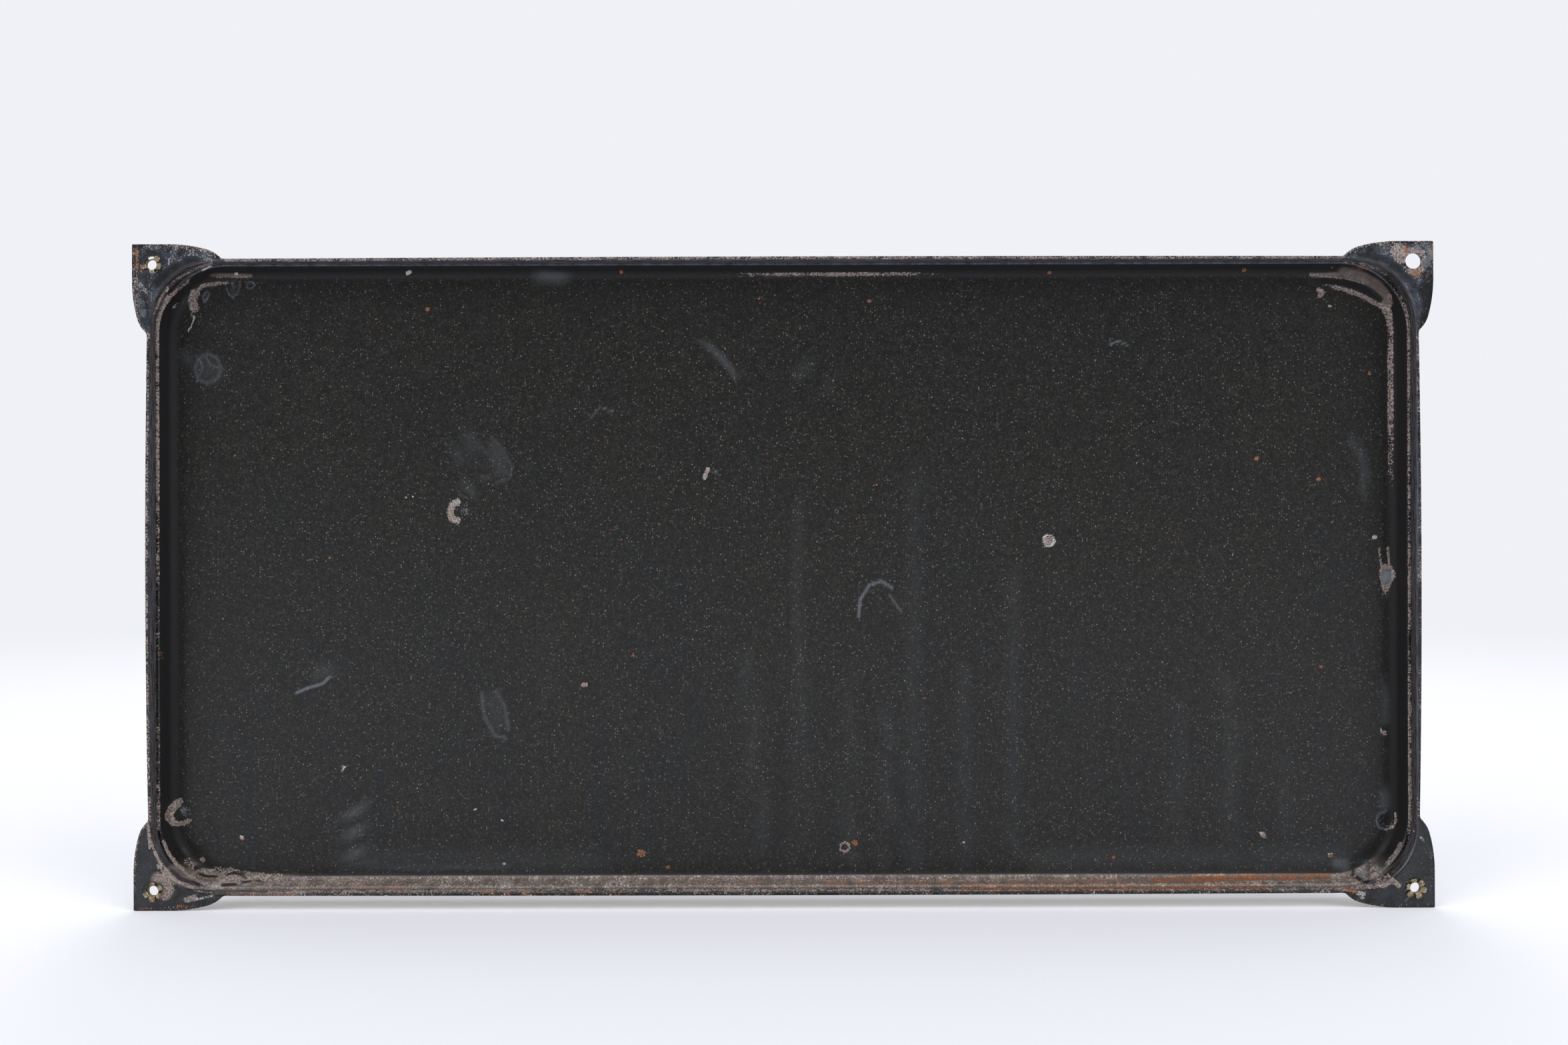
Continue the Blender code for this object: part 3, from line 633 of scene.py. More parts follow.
    "curved chip's lower end": ("burnt", 4.2, 0.9, ((262, 1236), (275, 1236), (284, 1231))),
    "curved chip's pale grains": ("pale", 3, 0.42, ((268, 1203), (255, 1217), (258, 1232), (274, 1237))),
    "olive islands on the lower left ear": ("black", 3.4, 0.9, ((265, 1330), (270, 1340), (262, 1350))),
    "smaller olive island": ("black", 2.4, 0.9, ((271, 1341), (278, 1338))),
    "cream edge by the notch, lower left": ("pale", 2.2, 0.7, ((293, 1350), (306, 1347), (319, 1344))),
    "cream edge of the lip, lower left": ("pale", 1.6, 0.6, ((345, 1339), (440, 1339))),
    "rusty lip, lower left": ("rust", 1.8, 0.62, ((338, 1342), (440, 1342))),
    "chip beside the lower left corner": ("pale", 3.4, 0.9, ((362, 1256), (363, 1257))),
    "rust in that chip": ("rust", 2, 0.9, ((365, 1259), (366, 1259))),
    "pinkish foot of the patches": ("burnt", 6, 0.56, ((292, 1312), (330, 1320), (440, 1322))),
    "dark line along the rim's bend, lower left": ("black", 1.3, 0.8, (
        (279, 1334), (320, 1337), (400, 1337))),
    "pinkish tip of the lower left ear": ("burnt", 5, 0.7, ((280, 1350), (292, 1347))),
    "dark gloss by the notch, lower left": ("black", 2.6, 0.8, ((296, 1354), (312, 1352))),
    "brown tint above the patches, lower left": ("rust", 8, 0.1, ((284, 1276), (294, 1280))),
    "dark ring round the lower left eyelet": ("black", 2.4, 0.8, (
        (214, 1336), (218, 1328), (227, 1324), (237, 1328), (242, 1338))),
    "flecks high on the lower left ear": ("pale", 3, 0.3, ((206, 1290), (214, 1280))),
    "dark strip beside the ledge, lower left": ("black", 3, 0.95, (
        (258, 1306), (270, 1318), (286, 1324), (298, 1328))),
    "dark gap in the patches, lower left": ("black", 3, 0.95, ((294, 1303), (303, 1300), (317, 1300))),
    "black island": ("black", 1.9, 0.95, ((300, 1312), (311, 1315), (325, 1315))),
    "smaller black island": ("black", 1.7, 0.95, ((340, 1313), (349, 1310), (361, 1312), (369, 1318))),
    "third black island": ("black", 2.2, 0.9, ((334, 1328), (353, 1327))),
    "dark heart of the patches, lower left": ("black", 2.0, 0.8, ((300, 1292), (296, 1300))),
    "fourth black island": ("black", 1.6, 0.9, ((364, 1324), (376, 1322))),
    "fifth black island": ("black", 1.4, 0.85, ((384, 1321), (392, 1322))),
    # Lower right corner
    "brown strip, lower right": ("burnt", 3, 0.9, ((2100, 1266), (2092, 1282), (2080, 1295))),
    "pinkish triangle, lower right": ("burnt", 4.4, 0.85, ((2082, 1325), (2089, 1321), (2098, 1329))),
    "blue heart of the triangle": ("bare", 3, 0.9, ((2087, 1325), (2089, 1325))),
    "orange band, lower right": ("rust", 1.8, 0.6, ((2062, 1326), (2080, 1325))),
    "orange rust at the notch": ("rust", 2.8, 0.75, ((2021, 1334), (2035, 1339))),
    "speckled foot of the lower right ear": ("burnt", 3, 0.35, (
        (2050, 1357), (2100, 1359), (2150, 1358))),
    "rusty foot of the lower right ear": ("rust", 2, 0.35, ((2130, 1359), (2148, 1359), (2149, 1350))),
    "speckled side of the lower right ear": ("bare", 2.0, 0.6, ((2146, 1280), (2147, 1306))),
    "glassy wall, lower right": ("shine", 3.8, 0.8, ((2109, 1276), (2103, 1286), (2095, 1296))),
    "glassy line on the rim's bend, lower right": ("shine", 1.1, 0.8, (
        (2116, 1288), (2110, 1297), (2104, 1305))),
    "glassy line on the ledge, lower right": ("shine", 1.0, 0.75, (
        (2104, 1271), (2095, 1283), (2086, 1293))),
    "glassy flecks, lower right": ("shine", 1.5, 0.8, ((2069, 1315), (2079, 1307))),
    "glassy fleck on the ear, lower right": ("shine", 0.9, 0.6, ((2117, 1295), (2118, 1296))),
    "dimple, lower right": ("relief", 12, -36, ((2079, 1231), (2080, 1231))),
    "thin enamel in the dimple, lower right": ("bare", 12, 0.46, ((2078, 1232), (2079, 1232))),
    "dimple's dark heart": ("black", 5, 0.95, ((2083, 1225), (2082, 1232))),
    "burnt edge of the dimple": ("burnt", 1.9, 0.85, (
        (2093, 1221), (2094, 1232), (2089, 1241), (2079, 1245))),
    "pale edge of the dimple": ("haze", 1.6, 0.26, (
        (2079, 1245), (2068, 1241), (2064, 1231), (2069, 1221), (2079, 1217))),
    "haze above the dimple": ("haze", 7, 0.13, ((2077, 1190), (2077, 1208))),
    "higher haze above the dimple": ("haze", 6, 0.09, ((2077, 1036), (2078, 1080))),
    "grey chip, lower right": ("burnt", 7, 0.9, ((2061, 1306), (2062, 1312))),
    "grey heart of the chip": ("haze", 5.5, 0.28, ((2044, 1307), (2044, 1314))),
    "dark rim of the chip": ("black", 2.4, 0.95, (
        (2029, 1312), (2030, 1300), (2037, 1291), (2047, 1289), (2054, 1296))),
    "dark foot of the chip": ("black", 3, 0.95, ((2036, 1317), (2046, 1323), (2060, 1324))),
    "crack in the chip": ("black", 0.8, 0.6, ((2054, 1298), (2053, 1320))),
    "grey edge of the chip": ("haze", 1.4, 0.35, ((2056, 1297), (2070, 1303), (2073, 1314))),
    "dust, lower right": ("haze", 8, 0.2, ((2006, 1295), (2016, 1297))),
    "chip beside the lower right corner": ("pale", 4.4, 0.8, ((1995, 1283), (1996, 1283))),
    "rust in that chip, lower right": ("rust", 3, 1.0, ((1996, 1284), (1997, 1284))),
    "dark gloss on the lower right ear": ("black", 6, 0.7, ((2060, 1343), (2102, 1343))),
    "burnt wall by the rim, lower right": ("burnt", 2.5, 0.6, ((2114, 1238), (2112, 1256))),
    "pink strip under the chip": ("burnt", 4, 0.75, ((2055, 1330), (2078, 1328))),
    "cream scale at the notch": ("pale", 4, 0.7, ((2036, 1340), (2045, 1341), (2043, 1347))),
    "glassy spot at the notch, lower right": ("shine", 1.3, 0.6, ((2032, 1347), (2040, 1349))),
    "triangle's orange top": ("rust", 1.5, 0.6, ((2084, 1320), (2092, 1319))),
    # Painted sheen: a bluish steel tone on the ear
    "painted blue sheen on the lower right ear": ("steel", 6, 0.25, ((2062, 1343), (2100, 1343))),
    "fainter end of the glassy line, lower right": ("shine", 0.9, 0.3, ((2102, 1307), (2090, 1317))),
    "second glassy fleck on the ear": ("shine", 0.8, 0.5, ((2120, 1300), (2121, 1301))),
    "pale dot on the ear, lower right": ("pale", 1.4, 0.9, ((2134, 1304), (2135, 1304))),
    "cream scale high on the ear": ("pale", 3, 0.6, ((2131, 1256), (2137, 1262))),
    "dark blob high on the ear": ("black", 2.2, 0.9, ((2136, 1253), (2137, 1256))),
    "bluish ring above the chip": ("steel", 3, 0.7, ((2032, 1294), (2042, 1291), (2052, 1294))),
    "scratches on the lower right ear": ("haze", 1.0, 0.16, ((2108, 1352), (2120, 1340), (2128, 1348))),
    # Chips and marks on the field
    "light triangular chip": ("pale", 3, 1.0, ((611, 410), (615, 408))),
    "curved grey chip": ("burnt", 5.6, 0.95, (
        (686, 753), (678, 758), (675, 768), (678, 778), (686, 781))),
    "curved grey chip's pale rim": ("pale", 4.2, 0.6, ((688, 752), (678, 757), (675, 764))),
    "dimple, left": ("relief", 8, -24, ((696, 769), (697, 769))),
    "thin enamel in the left dimple": ("bare", 7, 0.6, ((696, 768), (697, 768))),
    "long chip": ("burnt", 3.6, 1.0, ((1062, 704), (1057, 716))),
    "long chip's pale edge": ("pale", 3.0, 0.7, ((1062, 703), (1062, 706))),
    "faint dimple beside the long chip": ("relief", 9, -10, ((1070, 712), (1071, 712))),
    "rosette chip": ("burnt", 6.5, 0.95, ((1572, 811), (1574, 811))),
    "rosette's pale petals": ("pale", 2, 0.9, (
        (1565, 807), (1571, 802), (1579, 805), (1582, 812), (1577, 819), (1568, 818), (1565, 807))),
    "bruise beside the rosette": ("relief", 11, -12, ((1588, 797), (1589, 797))),
    "whitish chip": ("pale", 3.6, 0.95, ((2061, 806), (2063, 806))),
    "chip low on the left": ("burnt", 4, 0.9, ((875, 1028), (878, 1028))),
    "dimple low on the left": ("relief", 8, -14, ((884, 1020), (885, 1020))),
    "brown patch, left": ("rust", 5, 0.5, ((241, 982), (241, 988))),
    "rusty chip": ("rust", 4.5, 0.95, ((960, 1280), (963, 1280))),
    "rusty chip's rim": ("burnt", 6.5, 0.6, ((960, 1280), (963, 1280))),
    "ring chip": ("burnt", 2, 0.95, (
        (1260, 1271), (1262, 1266), (1267, 1264), (1272, 1266), (1274, 1271), (1272, 1276), (1267, 1278),
        (1262, 1276), (1260, 1271))),
    "rust beside the ring": ("rust", 4, 1.0, ((1282, 1264), (1283, 1265))),
    "brown patch, lower left": ("rust", 9, 0.16, ((302, 1270), (305, 1270))),
    "chip on the lower right field": ("burnt", 4.2, 0.9, ((1894, 1252), (1896, 1254))),
    "its white edge": ("pale", 2, 0.9, ((1891, 1250), (1893, 1250))),
    "chip on the right field": ("burnt", 4, 0.9, ((2076, 1099), (2077, 1101))),
    "its white side": ("pale", 1.4, 0.9, ((2071, 1092), (2072, 1099))),
    "teardrop's left prong": ("burnt", 2.2, 0.72, ((2069, 822), (2070, 838), (2073, 852))),
    "teardrop's right prong": ("burnt", 2.2, 0.72, ((2082, 822), (2083, 838), (2085, 852))),
    "teardrop scar": ("burnt", 12, 0.9, ((2080, 858), (2081, 864))),
    "teardrop's tip": ("burnt", 8, 0.9, ((2080, 868), (2079, 876))),
    "teardrop's grey heart": ("bare", 7.5, 0.9, ((2080, 860), (2079, 870))),
    "raised teardrop": ("relief", 7, 12, ((2081, 846), (2080, 868))),
    "blister": ("relief", 2.2, 9, (
        (292, 553), (297, 538), (311, 531), (325, 537), (332, 553), (326, 568), (311, 575), (297, 569),
        (292, 553))),
    "blister's pale ring": ("haze", 2.6, 0.11, (
        (292, 553), (297, 538), (311, 531), (325, 537), (332, 553), (326, 568), (311, 575), (297, 569),
        (292, 553))),
    "blister's pale skin": ("haze", 17, 0.05, ((306, 550), (316, 556))),
    "first crease of the blister": ("haze", 1.8, 0.15, ((300, 540), (304, 552), (300, 562))),
    "second crease of the blister": ("haze", 1.8, 0.15, ((309, 536), (316, 548), (328, 552))),
    "smudge beside the blister": ("haze", 9, 0.07, ((278, 533), (280, 536))),
    "dotted smear": ("haze", 5, 0.1, ((1060, 518), (1074, 528), (1088, 544), (1098, 556))),
    "dots in the smear": ("pale", 4, 0.28, ((1064, 522), (1094, 550))),
    "second dotted smear": ("haze", 1.2, 0.15, ((888, 625), (900, 611), (908, 614), (920, 617))),
    "third dotted smear": ("haze", 5, 0.06, ((1208, 556), (1224, 566), (1238, 584))),
    "hair scratch": ("haze", 1.2, 0.3, ((1665, 516), (1678, 512), (1690, 518))),
    "smear's right lobe": ("haze", 10, 0.055, ((742, 672), (750, 690), (752, 706))),
    "smear's outline": ("haze", 2, 0.07, ((736, 656), (750, 668), (768, 700), (764, 719), (744, 724))),
    "smear's left lobe": ("haze", 8, 0.05, ((709, 650), (702, 670), (688, 690))),
    "haze by the top": ("haze", 8, 0.16, ((808, 415), (826, 417), (848, 418))),
    "first arch scratch": ("haze", 2.2, 0.24, (
        (1288, 926), (1290, 900), (1304, 878), (1322, 872), (1338, 882))),
    "dots in the arch scratch": ("pale", 3.4, 0.3, ((1286, 918), (1292, 892), (1312, 874))),
    "scratch beside the arch": ("haze", 1.6, 0.16, ((1334, 892), (1352, 918))),
    "second arch scratch": ("haze", 2.2, 0.28, ((444, 1040), (462, 1032), (484, 1026), (494, 1016))),
    "dots in the second arch": ("pale", 3.4, 0.28, ((450, 1036), (478, 1028))),
    "smudge above the second arch": ("haze", 10, 0.05, ((478, 1010), (496, 1000))),
    "long arch scratch": ("haze", 2.0, 0.14, ((722, 1040), (727, 1076), (742, 1104), (760, 1108))),
    "long arch's other side": ("haze", 2.0, 0.12, ((744, 1036), (758, 1062), (763, 1096))),
    "long arch's pale skin": ("haze", 11, 0.04, ((738, 1050), (748, 1084))),
    "smear on the upper right field": ("haze", 5, 0.07, (
        (2030, 660), (2044, 684), (2048, 712), (2044, 740))),
    "vertical haze": ("haze", 7, 0.12, ((530, 1215), (532, 1290))),
    "haze along the bottom": ("haze", 5, 0.07, ((534, 1296), (620, 1302), (760, 1300))),
    "first water run": ("haze", 9, 0.024, ((1118, 980), (1130, 1140), (1154, 1296))),
    "second water run": ("haze", 8, 0.026, ((1196, 760), (1198, 1300))),
    "third water run": ("haze", 7, 0.02, ((1276, 1010), (1276, 1300))),
    "fourth water run": ("haze", 8, 0.024, ((1330, 1060), (1332, 1300))),
    "fifth water run": ("haze", 8, 0.025, ((1372, 700), (1370, 1300))),
    "sixth water run": ("haze", 8, 0.025, ((1446, 1000), (1448, 1300))),
    "seventh water run": ("haze", 8, 0.024, ((1518, 860), (1520, 1300))),
    "eighth water run": ("haze", 8, 0.02, ((1764, 1060), (1766, 1300))),
    "ninth water run": ("haze", 9, 0.024, ((1846, 1020), (1850, 1298))),
    "tenth water run": ("haze", 8, 0.019, ((1928, 1100), (1930, 1298))),
    "left water run": ("haze", 8, 0.015, ((823, 930), (826, 1040))),
    "dusty foot of the field, left": ("haze", 16, 0.031, ((520, 1292), (900, 1294))),
    "dusty foot of the field, right": ("haze", 16, 0.041, ((1560, 1290), (2010, 1288))),
    "dark run": ("black", 9, 0.3, ((1160, 1110), (1166, 1290))),
    "second dark run": ("black", 8, 0.3, ((1346, 1150), (1348, 1290))),
    "third dark run": ("black", 8, 0.26, ((1866, 1130), (1868, 1290))),
    "curved grey chip's white foot": ("pale", 3.6, 0.7, ((680, 780), (687, 782))),
    "thin enamel beside the long chip": ("bare", 6.5, 0.6, ((1073, 709), (1074, 709))),
    "smear's tail": ("haze", 3, 0.07, ((734, 714), (712, 728), (692, 742))),
    "long chip's pale foot": ("pale", 3.4, 0.7, ((1057, 714), (1057, 717))),
    "olive stain under the long chip": ("rust", 4, 0.14, ((1058, 724), (1060, 726))),
    "teardrop's pale heart": ("haze", 5, 0.2, ((2080, 862), (2079, 868))),
    "bluish head of the curved chip": ("haze", 2.5, 0.34, ((686, 753), (679, 758))),
    # Rust on the lower wall, in grains
    "rust grains, left": ("rust", 4.5, 0.44, ((495, 1331), (612, 1331))),
    "rust grains, middle left": ("rust", 2.4, 0.42, ((960, 1323), (1240, 1325))),
    "rust grains, middle right": ("rust", 3.2, 0.52, ((1240, 1326), (1500, 1325), (1730, 1321))),
    "rust grains, right": ("rust", 5.0, 0.66, ((1730, 1321), (1880, 1317), (1992, 1315))),
    "rust line near the lip, left": ("rust", 1.5, 0.6, ((717, 1339), (950, 1338))),
    "rust line near the lip, right": ("rust", 2.0, 0.9, ((1440, 1334), (1900, 1331))),
    "grey streaks on the lower wall": ("steel", 3, 0.55, ((1090, 1318), (1240, 1318))),
    "grey streaks on the lower wall, right": ("steel", 3, 0.5, ((1640, 1328), (1980, 1324))),
}

# Rust dots and white specks on the field: pixel place and half width
RUST_DOTS = (
    (641, 464, 2.6), (931, 408, 2.2), (1303, 452, 2.4), (1574, 409, 2.2), (1866, 405, 2.2),
    (1314, 727, 2.2), (1885, 688, 2.6), (1978, 719, 2.4), (2054, 560, 2.2), (950, 983, 2.2),
    (1002, 1301, 2), (1670, 1286, 2.2), (1981, 1000, 2.2), (1138, 448, 1.6), (494, 837, 1.6),
)
WHITE_SPECKS = (
    (608, 746, 1.5), (619, 746, 1.5), (626, 1184, 1.5), (713, 1215, 1.5), (753, 1231, 1.5),
    (756, 1296, 1.6), (630, 1317, 1.6), (1998, 402, 1.3), (2120, 1247, 1.6), (518, 1150, 1.3),
    (1445, 1264, 1.4),
)

# Bands that run along each side: a layer, the way down the section in millimetres, as
# inset and depth together, where the band starts and ends, its strength, and the share of
# it at places along the side, in the photograph's pixels
WHOLE = ((0, 1.0),)
SIDE_BANDS = {
    "right": (
        ("lines", -0.6, 6.8, 0.75, WHOLE),
        ("burnt", 7.0, 10.4, 0.74, ((480, 0.9), (930, 0.95), (960, 0.0))),
        ("burnt", 6.6, 10.6, 0.76, ((930, 0.0), (985, 0.9), (1060, 1.0), (1240, 1.0), (1262, 0.2))),
        # Painted shade: the black band darkens the second wall and its foot
        ("black", 10.7, 30.0, 1.0, WHOLE),
        ("burnt", 25.5, 30.0, 0.74, ((455, 1.0), (610, 1.0), (655, 0.72), (738, 0.66), (752, 0.0))),
    ),
    "left": (
        ("lines", 0.4, 7.0, 0.9, WHOLE),
        ("burnt", 7.2, 11.0, 0.76, (
            (470, 1.0), (730, 1.0), (790, 0.62), (985, 0.58), (1004, 0.1), (1060, 0.1), (1080, 0.6),
            (1240, 0.75), (1262, 0.2))),
        ("pale", 1.4, 6.4, 0.24, ((700, 0.0), (800, 1.0), (1100, 1.0), (1180, 0.0))),
        # Painted shade: the black band darkens the second wall and its foot
        ("black", 11.2, 30.0, 1.0, WHOLE),
    ),
    "top": (
        ("lines", 0.0, 8.2, 0.95, WHOLE),
        # Partly painted reflection: the steel band lightens the top ledge where the floor mirrors in it,
        # over the ledge's own bluish film
        ("steel", 8.2, 10.6, 1.0, WHOLE),
        # Painted shade: the black band darkens the second wall and its foot
        ("black", 11.0, 29.0, 1.0, WHOLE),
        ("burnt", 25.6, 28.6, 0.80, (
            (1092, 0.0), (1112, 0.62), (1180, 0.95), (1290, 0.9), (1360, 0.7), (1400, 0.6), (1424, 0.0))),
    ),
    "bottom": (
        ("lines", 0.6, 6.6, 0.8, WHOLE),
        ("burnt", 0.6, 6.6, 0.66, WHOLE),
        ("rust", 3.4, 4.9, 0.26, WHOLE),
        ("scorch", 6.6, 26.6, 0.82, WHOLE),
        ("pale", 7.0, 20.6, 0.42, WHOLE),
        ("burnt", 8.0, 26.8, 0.50, WHOLE),
        ("pale", 20.8, 26.8, 0.4, WHOLE),
        ("black", 27.1, 28.6, 0.8, WHOLE),
    ),
}
SIDE_NUMBER = {"right": 0, "left": 1, "top": 2, "bottom": 3}
BAND_UNEVENNESS = {"burnt": 0.16, "rust": 0.55, "pale": 0.4}
# Rectangles round the corners where the back is cut finer, in the photograph's pixels:
# left, top, right and bottom
WORN_CORNERS = {
    "upper right": (1940, 355, 2160, 520),
    "upper left": (190, 355, 420, 520),
    "lower left": (190, 1190, 440, 1372),
    "lower right": (1985, 1190, 2160, 1372),
}
COARSE_CUT_FACE = 3.0 * MM
COARSE_CUT_REACH_PX = 11
FINE_CUT_FACE = 1.0 * MM
FINE_CUT_REACH_PX = 4
CORNER_CUT_FACE = 2.2 * MM
BROAD_STROKE_PX = 8
LONG_STROKE_PX = 300
SOFT_HAZE_PX = 2.6
CORNER_LINES = 0.6
CORNER_BURN = 0.40
EDGE_WEAR = (0.5, 0.26)
EAR_BLACK = 0.45
EAR_STEEL = (0.95, 0.22)
EAR_PALE = (0.34, 0.16)
HOLE_RIM_BURN = 0.55
LIP_WEAR = {"right": 0.40, "left": 0.60, "top": 0.66, "bottom": 0.41}
LAYERS = (
    "burnt", "rust", "bare", "pale", "black", "lines",
    "scorch", "steel", "haze", "shine", "gloss", "edge",
)


def mesh_points(mesh):
    """The mesh's vertices as rows of x, y and z."""
    points = np.empty(len(mesh.vertices) * 3)
    mesh.vertices.foreach_get("co", points)
    return points.reshape(-1, 3)


def smooth_step(low, high, values):
    """0 below the low value and 1 above the high one, with an eased rise between."""
    share = np.clip((values - low) / (high - low), 0.0, 1.0)
    return share * share * (3 - 2 * share)


def window(rise_start, rise_end, fall_start, fall_end, values):
    """1 between an eased rise and an eased fall, and 0 outside them."""
    return smooth_step(rise_start, rise_end, values) * (1 - smooth_step(fall_start, fall_end, values))


def photo_pixels(points):
    """Where points show in the photograph, in its pixels."""
    focal = LENS / FILM_WIDTH * PHOTO_WIDTH_PX
    x = points[:, 0] - CAMERA_X
    z = points[:, 2] - CAMERA_RISE
    away = points[:, 1] - (EAR_BACK - CAMERA_DISTANCE)
    right = x * math.cos(CAMERA_ROLL) - z * math.sin(CAMERA_ROLL)
    up = x * math.sin(CAMERA_ROLL) + z * math.cos(CAMERA_ROLL)
    return np.stack((PHOTO_WIDTH_PX / 2 + focal * right / away,
                     PHOTO_HEIGHT_PX / 2 - focal * up / away), axis=1)


def distance_to_line(places, line):
    """Distance of each place from a line of points, all in one plane."""
    nearest = np.full(len(places), 1e9)
    for first, second in zip(line, line[1:]):
        a = np.array(first, float)
        run = np.array(second, float) - a
        share = np.clip((places - a) @ run / max(run @ run, 1e-12), 0.0, 1.0)
        gap = places - a - share[:, None] * run
        nearest = np.minimum(nearest, np.hypot(gap[:, 0], gap[:, 1]))
    return nearest


def section_place(points):
    """Each point's way down the section in millimetres, and the direction that its side faces."""
    depth = points[:, 1] - EAR_BACK
    growth = LEDGE_CORNER_GROWTH * np.clip(depth / LEDGE_DEPTH, 0.0, 1.0)
    radius = RIM_CORNER_RADIUS + growth
    over_x = np.abs(points[:, 0]) - (RIM_HALF_WIDTH - radius)
    over_z = np.abs(points[:, 2]) - (RIM_HALF_HEIGHT - radius)
    out_x = np.maximum(over_x, 0.0)
    out_z = np.maximum(over_z, 0.0)
    beyond = np.hypot(out_x, out_z)
    inset = radius - beyond - np.minimum(np.maximum(over_x, over_z), 0.0)
    flat = beyond < 1e-9
    facing_x = np.where(flat, over_x > over_z, out_x / np.maximum(beyond, 1e-9))
    facing_z = np.where(flat, over_x <= over_z, out_z / np.maximum(beyond, 1e-9))
    return (inset + depth) / MM, facing_x * np.sign(points[:, 0]), facing_z * np.sign(points[:, 2])


def marks():
    """Every stroke, with the dots and specks as short ones."""
    yield from STROKES.values()
    for x, y, half in RUST_DOTS:
        yield "rust", half + 0.6, 1.0, ((x, y), (x + 0.5, y))
        yield "relief", half, -8, ((x, y), (x + 0.5, y))
    for x, y, half in WHITE_SPECKS:
        yield "pale", half + 0.4, 1.0, ((x, y), (x + 0.5, y))


def refine_back(panel):
    """Cuts the faces finer in the worn corners and round the marks, and joins the plain ones in front."""
    bm = bmesh.new()
    bm.from_mesh(panel.data)
    behind_ears = EAR_BACK + PLAIN_FRONT_DEPTH
    front = [f for f in bm.faces if f.material_index == 1 and f.calc_center_median().y > behind_ears]
    bmesh.ops.dissolve_limit(
        bm, angle_limit=PLAIN_FRONT_ANGLE, delimit={"MATERIAL"},
        verts=list({v for f in front for v in f.verts if all(g.material_index == 1 for g in v.link_faces)}),
        edges=list({e for f in front for e in f.edges if all(g.material_index == 1 for g in e.link_faces)}))

    def split(cuts, reach, widest):
        faces = [f for f in bm.faces if f.material_index == 0 and len(f.verts) == 4]
        centres = photo_pixels(np.array([f.calc_center_median() for f in faces]))
        sizes = np.array([max(e.calc_length() for e in f.edges) for f in faces])
        wanted = np.zeros(len(faces), bool)
        for layer, half, strength, line in marks():
            length = math.dist(line[0], line[-1])
            soft_haze = layer == "haze" and half > SOFT_HAZE_PX
            if half < BROAD_STROKE_PX and length < LONG_STROKE_PX and not soft_haze:
                wanted |= distance_to_line(centres, line) < half + reach
        for left, top, right, bottom in WORN_CORNERS.values():
            wanted |= ((centres[:, 0] > left) & (centres[:, 0] < right)
                       & (centres[:, 1] > top) & (centres[:, 1] < bottom) & (sizes > CORNER_CUT_FACE))
        wanted &= sizes > widest
        edges = {e for f, w in zip(faces, wanted) if w for e in f.edges if e.calc_length() > widest / 2}
        bmesh.ops.subdivide_edges(bm, edges=list(edges), cuts=cuts, use_grid_fill=True)

    split(3, COARSE_CUT_REACH_PX, COARSE_CUT_FACE)
    split(1, FINE_CUT_REACH_PX, FINE_CUT_FACE)
    bm.to_mesh(panel.data)
    bm.free()


